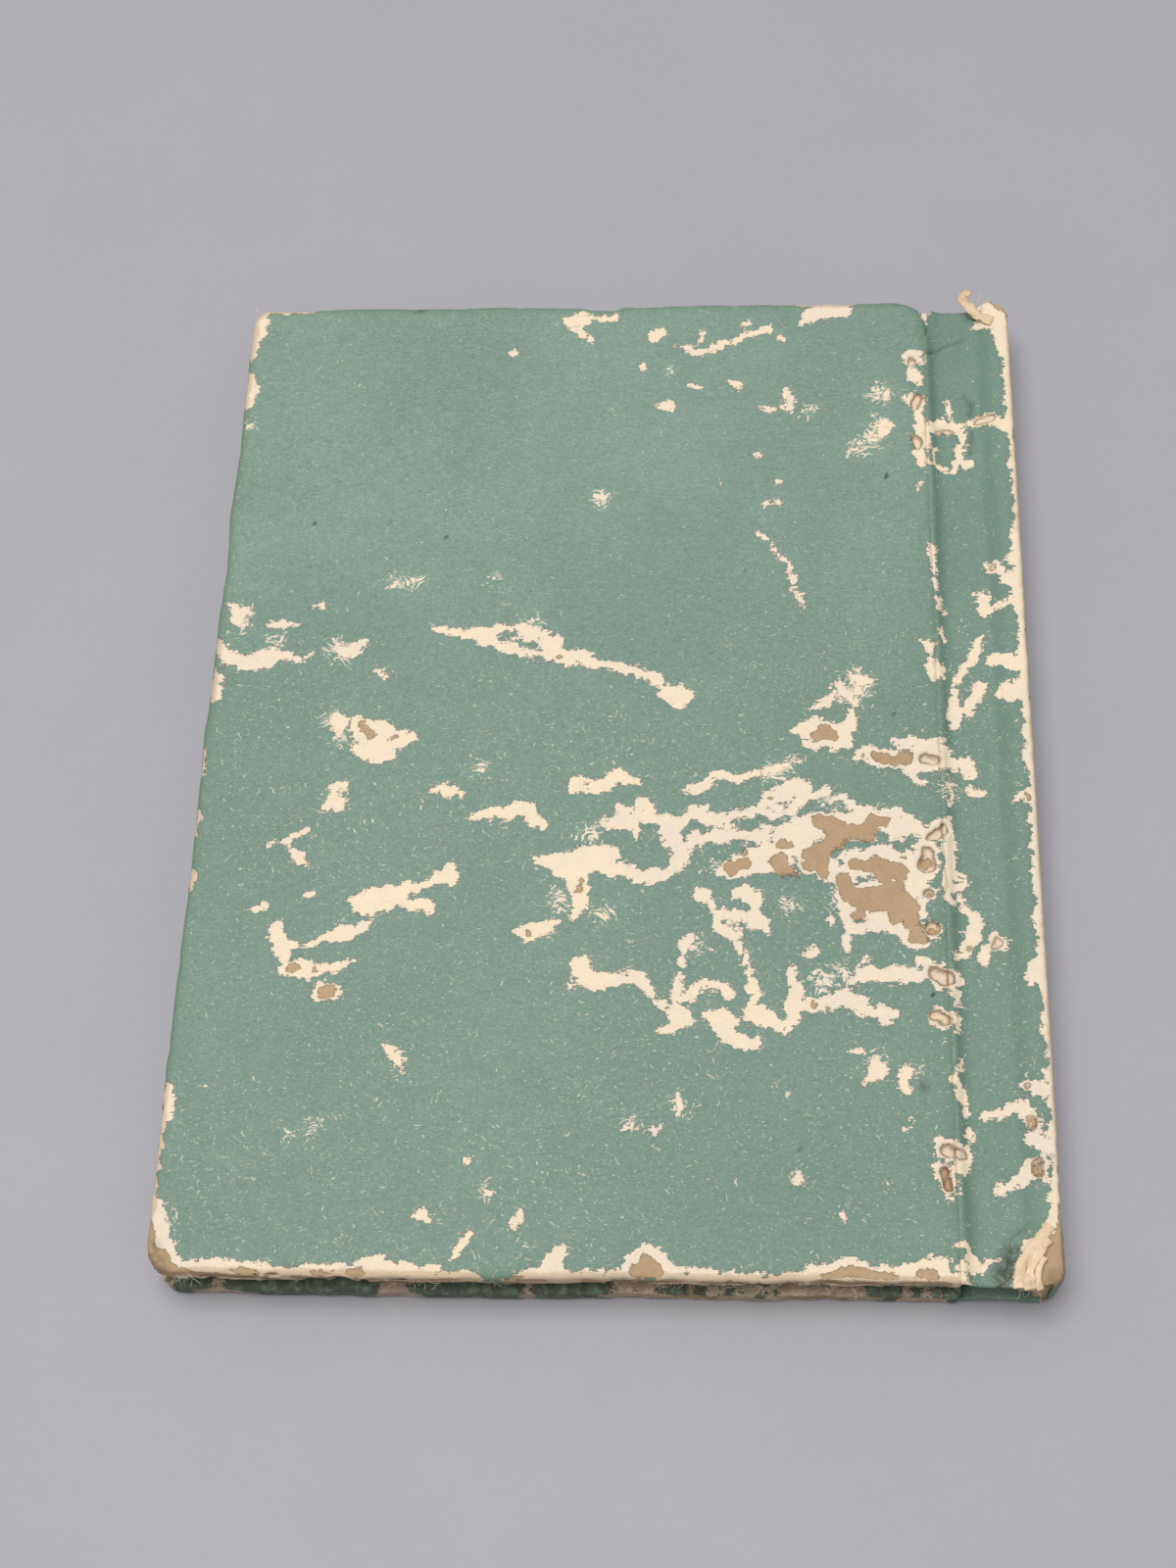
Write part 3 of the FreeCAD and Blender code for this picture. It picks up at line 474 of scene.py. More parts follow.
            (54.7, -52, 0.5), (54.5, -62, 0.9), (53.6, -65, 1.3), (52.8, -66.6, 1.8),
            (52.3, -68.6, 2.1), (52.5, -71, 2.5)],
        [(53.9, 67.8, 0.5), (53.8, 69, 1.2), (52.3, 70.3, 0.9)],
        [
            (-54.7, -49, 0.5), (-55, -56, 0.7), (-55, -62, 0.8), (-54.4, -66.3, 1.8),
            (-53, -68.7, 2.1), (-51.2, -70.2, 1.7), (-48.2, -71, 1.2), (-45.6, -71.3, 0.8)],
        [(-42.6, -69.6, 0.5), (-40.5, -69.9, 0.5)], [(-33.4, -69.8, 0.5), (-31.9, -69.7, 0.5)],
        [(-29.3, -69.6, 0.7), (-27.9, -69.6, 0.7)], [(-9.8, -70.1, 0.6)],
        [(4.3, -69.3, 1.1), (5.2, -67.9, 0.9), (6.5, -69.3, 0.8)],
        [(26, -69.4, 0.5), (29, -69.1, 0.7), (32.5, -69.1, 0.6), (34, -69.4, 0.5)],
        [(37.4, -69.1, 0.7), (38.8, -69.1, 0.7)], [(-47, -71.3, 0.6), (-40, -71.4, 0.7)],
        [(-36, -71.4, 0.6), (-26, -71.5, 0.7)], [(-23, -71.4, 0.5), (-17, -71.5, 0.5)],
        [(-11.5, -71.5, 0.4), (-7, -71.4, 0.6)], [(-2, -71.5, 0.5), (9, -71.4, 0.7)],
        [(12, -71.4, 0.5), (23, -71.5, 0.6)], [(25, -71.2, 0.8), (33, -71.3, 0.7)],
        [(35.5, -71.3, 0.6), (40.5, -71.3, 0.6)],
    ],
    "creamIslands": [
        [(31.8, -18.9, 1.4)], [(33.9, -24, 0.8)], [(28.6, -15.8, 1)], [(31, -14.6, 0.7)]],
    "pits": [
        [(40.3, 59.8, 0.45)], [(41, 54, 0.4), (40.7, 52.3, 0.55)],
        [(40.5, 46.8, 0.4), (40.6, 45.9, 0.4)], [(48.9, 50.1, 0.3), (50.6, 50, 0.4)],
        [(44.8, 53.2, 0.2)], [(43.4, 48.6, 0.1), (45.2, 48.5, 0.1)],
        [(40.3, -12.8, 0.3), (41.8, -12, 0.5)], [(39.8, -15, 0.4), (39.7, -17, 0.6)],
        [(40, -20.7, 0.5)], [(40.2, -25.2, 0.75)], [(40, -31.2, 0.4), (41.5, -31.9, 0.7)],
        [(40, -36.9, 0.5), (41.2, -37.8, 0.5)], [(41, -53.6, 0.5), (42.6, -54, 0.4)],
        [(40.5, -56.3, 0.4), (40.8, -58.5, 0.35)], [(40, -1.8, 0.5), (41.4, -2.4, 0.5)],
        [(50.9, -45.8, 0.3)], [(50.7, -49.7, 0.4), (51.2, -51, 0.4)],
        [(51.2, -55.2, 0.4), (51.3, -56.6, 0.4)], [(44.2, -27.6, 0.3)],
        [(47.6, -27.4, 0.25), (48.2, -26.8, 0.2)], [(49.6, 26.6, 0.4)], [(-38.8, -70.3, 0.35)],
        [(-47, -71.9, 0.3), (-41, -72, 0.35)], [(-35, -72, 0.3), (-27, -72, 0.35)],
        [(1, -72, 0.3), (8, -72, 0.35)], [(13, -72, 0.3), (22, -72, 0.35)],
        [(26, -71.9, 0.3), (32, -71.9, 0.35)],
    ],
    # the creases are also darkened with painted shade where the wear is stored
    "creases": [
        [(47.3, 54.5, 0.1), (48.2, 53, 0.2), (48, 51, 0.2)], [(48.1, 48.6, 0.15), (47.8, 45, 0.1)],
        [(42.6, 61.3, 0.2), (44.5, 62.7, 0.15), (47.6, 64, 0.1)],
        [(46.2, -69.6, 0.3), (47.6, -68, 0.4), (48.3, -65.8, 0.3)],
        [(47.6, -64.4, 0.1), (49.4, -63, 0.1)],
    ],
    "scuffs": [
        [(-50.8, 19.6, 1.5), (-50.5, 17.5, 0.8)], [(-46, 15.4, 1)], [(-37, 14, 1.6)],
        [(-37.3, 3.5, 1.2), (-35.8, 1, 0.8)], [(-17.3, -3.3, 0.9)], [(-36, -7.5, 1.6)],
        [(-11.4, 18.2, 0.9)], [(-31, 24.4, 1), (-27, 24.4, 0.5)], [(-17, 25, 0.7)],
        [(-3, 37.5, 1.2)], [(-53, 50, 0.8)], [(-38.3, -53, 0.7)], [(-35.1, -51.8, 0.7)],
        [(35.8, 54.4, 1.5)], [(35.6, 49.5, 1.2), (34.6, 47, 1.4)], [(32.6, 45.4, 1.3)],
        [(26, 51.5, 0.9)], [(31.5, 8.4, 2), (30, 6.4, 0.9)], [(48.3, 22.4, 0.7)],
        [(20.6, -4.2, 1.4), (23.6, -2.6, 0.5)], [(27.5, -7.8, 1.2), (29.4, -8.2, 0.5)],
        [(22.5, -22.4, 1.3)], [(28.2, -21.5, 0.8)], [(10.6, -28, 1.2)],
        [(26.4, -32.6, 1.6), (29, -31.5, 1.2)], [(15.5, -25, 1.6)], [(32.6, -42.5, 1)],
        [(37.8, -44, 0.7)], [(-2.6, -13, 1.3)], [(-6.4, -22, 1.4)], [(-0.8, -23.6, 1.2)],
        [(13.2, -17, 0.7)], [(3.4, -51, 0.8)], [(6.4, 58.8, 0.3)], [(42.8, -6, 1)],
        [(-14, -59.6, 0.8)], [(8.8, -48.5, 0.9)], [(23, -57.5, 0.6)], [(-51.8, -63, 1)],
    ],
    # stains, and beside the torn tail ply (47.8, -66 to 46.5, -68.8) a painted shadow
    "soil": [
        [(38.4, -46, 0.1)], [(52.8, -69.3, 1)], [(51.8, -70, 0.7)], [(-30, 70.2, 0.6)],
        [(47.8, -66, 0.7), (46.5, -68.8, 0.6)], [(-53.6, -66.8, 0.9), (-52.2, -69.6, 1)],
    ],
    "ink": [
        [(-40.3, -70.3, 0.25)], [(-24.6, -71.6, 0.25), (-22.8, -71.6, 0.3)],
        [(-39.5, -71.8, 0.2), (-38, -71.8, 0.2)], [(36.3, 40.9, 0.3)],
        [(-24, 31.3, 0.2), (-23.7, 31.6, 0.1)], [(-42.2, 33.9, 0.15)], [(-31.7, 34, 0.12)],
        [(16.8, 26, 0.15)], [(23.5, -54, 0.12)], [(-32.3, -28.9, 0.1)], [(39.8, -34.3, 0.25)],
        [(-42.3, 26.8, 0.1)], [(-44.7, 21.8, 0.1)], [(36.2, 4.3, 0.1)],
    ],
}


# shader groups
print("shader groups")


def linear(red, green, blue):
    return [((c / 255 + 0.055) / 1.055) ** 2.4 for c in (red, green, blue)] + [1]


def addNode(tree, kind, sockets=None, **settings):
    node = tree.nodes.new(kind)
    for key, value in settings.items():
        setattr(node, key, value)
    for key, value in (sockets or {}).items():
        if isinstance(value, bpy.types.NodeSocket):
            tree.links.new(value, node.inputs[key])
        else:
            node.inputs[key].default_value = value
    return node


def math2(tree, operation, first, second):
    return addNode(tree, "ShaderNodeMath", {0: first, 1: second}, operation=operation).outputs[0]


def times(tree, first, second):
    return math2(tree, "MULTIPLY", first, second)


def plus(tree, first, second):
    return math2(tree, "ADD", first, second)


def minus(tree, first, second):
    return math2(tree, "SUBTRACT", first, second)


def most(tree, first, second):
    return math2(tree, "MAXIMUM", first, second)


def fade(tree, value, low, high):
    # 0 at low and 1 at high, whichever way round they are
    return addNode(
        tree, "ShaderNodeMapRange", {0: value, 1: low, 2: high}, interpolation_type="SMOOTHSTEP"
    ).outputs[0]


def mixColour(tree, factor, first, second):
    node = addNode(tree, "ShaderNodeMix", data_type="RGBA")
    for socket, value in (
            (node.inputs[0], factor), (node.inputs[6], first), (node.inputs[7], second)):
        if isinstance(value, bpy.types.NodeSocket):
            tree.links.new(value, socket)
        else:
            socket.default_value = value
    return node.outputs[2]


def noiseAt(tree, place, scale, detail=3.0, rough=0.55):
    return addNode(
        tree, "ShaderNodeTexNoise",
        {"Vector": place, "Scale": scale, "Detail": detail, "Roughness": rough}).outputs[0]


def stretched(tree, place, turn, scale):
    return addNode(
        tree, "ShaderNodeMapping",
        {"Vector": place, "Rotation": (0, 0, math.radians(turn)), "Scale": scale}).outputs[0]


def newGroup(name, inputs, outputs):
    tree = bpy.data.node_groups.new(name, "ShaderNodeTree")
    for title, kind in inputs:
        tree.interface.new_socket(title, in_out="INPUT", socket_type=kind)
    for title, kind in outputs:
        tree.interface.new_socket(title, in_out="OUTPUT", socket_type=kind)
    return tree, tree.nodes.new("NodeGroupInput").outputs, tree.nodes.new("NodeGroupOutput").inputs


maskLook = {
    "ragScale": 1.5, "ragReach": 2.5, "fibreTurn": 24, "fibreScale": 1.6, "fibreReach": 1.1,
    "driftScale": 0.22, "drift": 9.0, "streakTurn": 40, "streakScale": 1.25, "scuffLimit": 0.55,
    "scuffFall": 0.08, "dotTurn": 55, "dotScale": 2.1, "dotLimit": 0.655, "dotGain": 0.035,
    "dotStrength": 0.75, "boardRag": 0.6, "pitRag": 0.25, "creamDepth": 0.06, "boardDepth": 0.1,
    "pitDepth": 0.32,
}


def wearGroup(look):
    # turns the stored distances into masks with ragged, fibrous borders
    tree, take, give = newGroup(
        "Worn Paper Masks",
        [
            ("Place", "NodeSocketVector"), ("Rubbed", "NodeSocketFloat"),
            ("Bare", "NodeSocketFloat"), ("Pit", "NodeSocketFloat"), ("Scuffed", "NodeSocketFloat"),
            ("Speckle", "NodeSocketFloat")],
        [
            ("Cream", "NodeSocketFloat"), ("Board", "NodeSocketFloat"),
            ("Hollow", "NodeSocketFloat"), ("Rim", "NodeSocketFloat"), ("Height", "NodeSocketFloat")])
    place = take["Place"]
    ragged = times(
        tree, minus(tree, noiseAt(tree, place, look["ragScale"], 6.0, 0.74), 0.5), look["ragReach"])
    hairPlace = stretched(tree, place, look["fibreTurn"], (0.5, 3.2, 1))
    fibres = times(
        tree, minus(tree, noiseAt(tree, hairPlace, look["fibreScale"], 3.0), 0.5),
        look["fibreReach"])
    border = plus(tree, plus(tree, take["Rubbed"], ragged), fibres)
    cream = fade(tree, border, 0.07, -0.05)
    swirl = addNode(
        tree, "ShaderNodeTexNoise", {"Vector": place, "Scale": look["driftScale"]}).outputs[1]
    bent = addNode(
        tree, "ShaderNodeVectorMath", {0: swirl, "Scale": look["drift"]}, operation="SCALE")
    drift = addNode(
        tree, "ShaderNodeVectorMath", {0: place, 1: bent.outputs[0]}, operation="ADD").outputs[0]
    streaks = noiseAt(
        tree, stretched(tree, drift, look["streakTurn"], (0.6, 2.0, 1)), look["streakScale"], 5.0,
        0.68)
    reach = addNode(tree, "ShaderNodeClamp", {0: take["Scuffed"], 1: -1.0, 2: 4.0}).outputs[0]
    limit = plus(tree, times(tree, reach, look["scuffFall"]), look["scuffLimit"])
    scuffs = fade(tree, minus(tree, streaks, limit), -0.006, 0.012)
    dots = noiseAt(
        tree, stretched(tree, drift, look["dotTurn"], (0.9, 1.8, 1)), look["dotScale"], 4.0, 0.62)
    dotLimit = minus(tree, look["dotLimit"], times(tree, take["Speckle"], look["dotGain"]))
    specks = times(tree, fade(tree, minus(tree, dots, dotLimit), 0.0, 0.03), look["dotStrength"])
    allCream = most(tree, most(tree, cream, scuffs), specks)
    board = fade(tree, plus(tree, take["Bare"], times(tree, ragged, look["boardRag"])), 0.07, -0.07)
    hollow = fade(tree, plus(tree, take["Pit"], times(tree, ragged, look["pitRag"])), 0.22, -0.3)
    height = minus(
        tree, times(tree, cream, -look["creamDepth"]), times(tree, board, look["boardDepth"]))
    height = minus(tree, height, times(tree, hollow, look["pitDepth"]))
    rim = times(tree, fade(tree, take["Pit"], 0.16, 0.04), fade(tree, take["Pit"], -0.16, -0.02))
    for title, value in (
            ("Cream", allCream), ("Board", board), ("Hollow", hollow), ("Rim", rim), ("Height", height)):
        tree.links.new(value, give[title])
    return tree


def fibreColourGroup():
    # one paper or board colour, mottled at three sizes
    tree, take, give = newGroup(
        "Mottled Fibre Colour",
        [
            ("Place", "NodeSocketVector"), ("Base", "NodeSocketColor"), ("Tint", "NodeSocketColor"),
            ("Mottle", "NodeSocketFloat"), ("Grain", "NodeSocketFloat")],
        [("Color", "NodeSocketColor"), ("Height", "NodeSocketFloat")])
    place = take["Place"]
    broad = fade(tree, noiseAt(tree, place, 0.045, 3.0), 0.35, 0.7)
    middle = fade(tree, noiseAt(tree, place, 0.6, 3.0), 0.3, 0.75)
    grain = noiseAt(tree, place, 2.6, 4.0, 0.7)
    hairs = noiseAt(tree, stretched(tree, place, -37, (0.6, 3.0, 1)), 2.2, 2.0)
    colour = mixColour(
        tree,
        times(tree, plus(tree, times(tree, broad, 0.6), times(tree, middle, 0.4)), take["Mottle"]),
        take["Base"], take["Tint"])
    swing = plus(tree, minus(tree, grain, 0.5), times(tree, minus(tree, hairs, 0.5), 0.8))
    level = plus(tree, times(tree, swing, take["Grain"]), 1.0)
    shaded = addNode(tree, "ShaderNodeVectorMath", {0: colour}, operation="SCALE")
    tree.links.new(level, shaded.inputs["Scale"])
    tree.links.new(shaded.outputs[0], give["Color"])
    tree.links.new(swing, give["Height"])
    return tree


wearMasks = wearGroup(maskLook)
fibreColour = fibreColourGroup()

paperLook = {
    "green": linear(134, 159, 144), "greenDeep": linear(122, 147, 132),
    "olive": linear(108, 130, 102), "shade": linear(102, 132, 117), "cream": linear(250, 228, 195),
    "creamThin": linear(234, 219, 203), "board": linear(197, 168, 132),
    "boardDark": linear(170, 139, 104), "hollow": linear(190, 152, 118), "soil": linear(58, 58, 50),
    "ink": linear(24, 26, 26), "page": linear(233, 221, 196), "pageEdge": linear(212, 192, 158),
    "endpaper": linear(231, 220, 198), "endpaperAged": linear(214, 198, 168),
}


def newMaterial(name):
    material = bpy.data.materials.new(name)
    material.use_nodes = True
    tree = material.node_tree
    return material, tree, tree.nodes["Principled BSDF"]


def millimetres(tree):
    place = addNode(tree, "ShaderNodeTexCoord").outputs["Object"]
    return addNode(
        tree, "ShaderNodeVectorMath", {0: place, "Scale": 1000.0}, operation="SCALE").outputs[0]


def attributeOf(tree, name):
    return addNode(tree, "ShaderNodeAttribute", attribute_name=name).outputs["Fac"]


def fillGroup(tree, group, sockets):
    node = tree.nodes.new("ShaderNodeGroup")
    node.node_tree = group
    for key, value in sockets.items():
        if isinstance(value, bpy.types.NodeSocket):
            tree.links.new(value, node.inputs[key])
        else:
            node.inputs[key].default_value = value
    return node.outputs


def bumped(tree, shader, height, strength=1.0):
    bump = addNode(
        tree, "ShaderNodeBump", {"Height": height, "Distance": 0.001, "Strength": strength})
    tree.links.new(bump.outputs[0], shader.inputs["Normal"])


coverShade = {
    "greenMottle": 0.9, "greenGrain": 0.85, "creamMottle": 0.8, "creamGrain": 0.22,
    "boardMottle": 0.6, "boardGrain": 0.3, "olive": 0.65, "sunk": 0.8, "tan": 0.55, "hollow": 0.25,
    "rim": 0.5, "dirt": 0.75, "dirtAndShadeOnCream": 0.3, "rough": 0.62, "creamRough": 0.22, "fine": 0.035,
}


def coverMaterial(name, look):
    material, tree, shader = newMaterial(name)
    place = millimetres(tree)
    wear = fillGroup(
        tree, wearMasks,
        {
            "Place": place, "Rubbed": attributeOf(tree, "rubbed"),
            "Bare": attributeOf(tree, "bare"), "Pit": attributeOf(tree, "pit"),
            "Scuffed": attributeOf(tree, "scuffed"), "Speckle": attributeOf(tree, "speckle")})
    green = fillGroup(
        tree, fibreColour,
        {
            "Place": place, "Base": paperLook["green"], "Tint": paperLook["greenDeep"],
            "Mottle": look["greenMottle"], "Grain": look["greenGrain"]})
    cream = fillGroup(
        tree, fibreColour,
        {
            "Place": place, "Base": paperLook["cream"], "Tint": paperLook["creamThin"],
            "Mottle": look["creamMottle"], "Grain": look["creamGrain"]})
    board = fillGroup(
        tree, fibreColour,
        {
            "Place": place, "Base": paperLook["board"], "Tint": paperLook["boardDark"],
            "Mottle": look["boardMottle"], "Grain": look["boardGrain"]})
    # olive tint near the edges; on the joint strips the olive band along the slope up to the spine is
    # painted shade
    edge = fade(tree, plus(tree, attributeOf(tree, "edge"), noiseAt(tree, place, 0.5)), 2.4, 0.2)
    colour = mixColour(tree, times(tree, edge, look["olive"]), green["Color"], paperLook["olive"])
    # painted shade: a stored per-point amount darkens the green towards the shade colour
    sunk = times(tree, attributeOf(tree, "sunk"), look["sunk"])
    colour = mixColour(tree, sunk, colour, paperLook["shade"])
    # the outermost arris is handled down to a tan colour
    tan = fade(
        tree, plus(tree, attributeOf(tree, "edge"), noiseAt(tree, place, 0.7, 4.0)), 1.6, 1.05)
    ply = mixColour(tree, times(tree, tan, look["tan"]), cream["Color"], board["Color"])
    colour = mixColour(tree, wear["Cream"], colour, ply)
    colour = mixColour(tree, wear["Board"], colour, board["Color"])
    # painted shade in the pits: their floors are tinted tan and darker, and a thin dark line is painted
    # round their rims
    colour = mixColour(
        tree, times(tree, wear["Hollow"], look["hollow"]), colour, paperLook["hollow"])
    colour = mixColour(tree, times(tree, wear["Rim"], look["rim"]), colour, paperLook["boardDark"])
    # stains and painted shade: soil marks, shadowed edges and the creases darken towards a grey-brown,
    # less on cream
    dirt = times(
        tree, attributeOf(tree, "soil"), fade(tree, noiseAt(tree, place, 0.9, 4.0), 0.22, 0.58))
    dirt = times(
        tree, dirt, minus(tree, look["dirt"], times(tree, wear["Cream"], look["dirtAndShadeOnCream"])))
    colour = mixColour(tree, dirt, colour, paperLook["soil"])
    colour = mixColour(tree, attributeOf(tree, "ink"), colour, paperLook["ink"])
    tree.links.new(colour, shader.inputs["Base Color"])
    rough = plus(tree, times(tree, wear["Cream"], look["creamRough"]), look["rough"])
    tree.links.new(rough, shader.inputs["Roughness"])
    shader.inputs["Specular IOR Level"].default_value = 0.35
    fine = times(tree, green["Height"], look["fine"])
    bumped(tree, shader, plus(tree, wear["Height"], fine))
    return material


def sheetMaterial(name, base, tint, grain, lines=0.0, rough=0.85):
    material, tree, shader = newMaterial(name)
    place = millimetres(tree)
    fibre = fillGroup(
        tree, fibreColour,
        {"Place": place, "Base": base, "Tint": tint, "Mottle": 0.9, "Grain": grain})
    tree.links.new(fibre["Color"], shader.inputs["Base Color"])
    shader.inputs["Roughness"].default_value = rough
    shader.inputs["Specular IOR Level"].default_value = 0.3
    height = times(tree, fibre["Height"], 0.03)
    if lines:
        wave = addNode(
            tree, "ShaderNodeTexWave", {"Vector": place, "Scale": lines, "Distortion": 0.6},
            bands_direction="Z").outputs["Fac"]
        height = plus(tree, height, times(tree, wave, 0.05))
    bumped(tree, shader, height)
    return material


def gauzeMaterial():
    material, tree, shader = newMaterial("gauze")
    place = millimetres(tree)
    warp = addNode(
        tree, "ShaderNodeTexWave", {"Vector": place, "Scale": 0.45, "Distortion": 0.8},
        bands_direction="Y").outputs["Fac"]
    weft = addNode(
        tree, "ShaderNodeTexWave", {"Vector": place, "Scale": 0.45, "Distortion": 0.8},
        bands_direction="DIAGONAL").outputs["Fac"]
    weave = most(tree, warp, weft)
    fibre = fillGroup(
        tree, fibreColour,
        {
            "Place": place, "Base": linear(222, 212, 190), "Tint": linear(196, 180, 150),
            "Mottle": 0.8, "Grain": 0.25})
    tree.links.new(
        mixColour(tree, fade(tree, weave, 0.7, 0.2), fibre["Color"], linear(150, 132, 104)),
        shader.inputs["Base Color"])
    shader.inputs["Roughness"].default_value = 0.95
    bumped(tree, shader, times(tree, weave, 0.12))
    return material


def steelMaterial():
    material, tree, shader = newMaterial("steelWire")
    place = millimetres(tree)
    rust = fade(tree, noiseAt(tree, place, 0.9, 4.0), 0.45, 0.68)
    tree.links.new(
        mixColour(tree, rust, linear(150, 146, 140), linear(120, 78, 48)),
        shader.inputs["Base Color"])
    tree.links.new(minus(tree, 0.95, times(tree, rust, 0.75)), shader.inputs["Metallic"])
    tree.links.new(plus(tree, times(tree, rust, 0.4), 0.35), shader.inputs["Roughness"])
    bumped(tree, shader, times(tree, rust, 0.03))
    return material


backMaterial = coverMaterial("wornGreenPaper", coverShade)
pulpMaterial = sheetMaterial("boardPulp", paperLook["board"], paperLook["boardDark"], 0.4)
creamMaterial = sheetMaterial("creamPly", paperLook["cream"], paperLook["creamThin"], 0.16)
endpaperMaterial = sheetMaterial(
    "agedEndpaper", paperLook["endpaper"], paperLook["endpaperAged"], 0.12)
pageMaterial = sheetMaterial("agedPage", paperLook["page"], paperLook["pageEdge"], 0.1)
stackMaterial = sheetMaterial(
    "pageStack", paperLook["page"], paperLook["pageEdge"], 0.15, lines=2.4)
tornMaterial = sheetMaterial("tornPly", paperLook["cream"], linear(214, 176, 132), 0.35)


# wrapped boards
coverLook = {
    "step": 0.46, "coarseStep": 0.8, "arris": 0.75, "innerArris": 0.45, "foreCorner": 2.6,
    "foreTailCorner": 3.6, "headCorner": 4.4, "tailCorner": 1.2, "foreLean": 0.008, "bow": 0.1,
    "edgeWobble": 0.22, "paperRelief": 0.1, "boardRelief": 0.16, "pitDepth": 0.75,
    "rimHeight": 0.16, "creaseDepth": 0.22, "wander": 0.45, "ragged": 0.38, "spread": 0.2,
    "pitSpread": 0.16, "lobe": 1.7, "tailSlip": 0.3, "pasteSink": 0.16, "nick": 0.55,
}


def spacing(low, high, step, fine):
    # even steps with closer ones near both ends
    near = np.arange(0, 1.2, fine)
    inner = np.linspace(low + 1.2, high - 1.2, int(round((high - low - 2.4) / step)) + 1)
    return np.concatenate([low + near, inner, (high - near)[::-1]])


def roundCorners(x, y, low, high, radii):
    # squares at the corners become quarter discs; also the distance to the outline and the way out
    outX, outY = x.copy(), y.copy()
    toLeft, toRight, toTail, toHead = x - low[0], high[0] - x, y - low[1], high[1] - y
    inset = np.minimum.reduce([toLeft, toRight, toTail, toHead])
    wayX = np.where(inset == toLeft, -1.0, np.where(inset == toRight, 1.0, 0.0))
    wayY = np.where(
        (inset == toTail) & (wayX == 0), -1.0, np.where((inset == toHead) & (wayX == 0), 1.0, 0.0))
    for (sideX, sideY), radius in radii.items():
        centreX = low[0] + radius if sideX < 0 else high[0] - radius
        centreY = low[1] + radius if sideY < 0 else high[1] - radius
        a, b = (x - centreX) * sideX / radius, (y - centreY) * sideY / radius
        here = (a > 0) & (b > 0)
        reach, length = np.maximum(a, b), np.maximum(np.hypot(a, b), 1e-9)
        outX = np.where(here, centreX + sideX * radius * a / length * reach, outX)
        outY = np.where(here, centreY + sideY * radius * b / length * reach, outY)
        wayX, wayY = np.where(here, sideX * a / length, wayX), np.where(
            here, sideY * b / length, wayY)
        inset = np.where(here, radius * (1 - reach), inset)
    return outX, outY, np.maximum(inset, 0), wayX, wayY


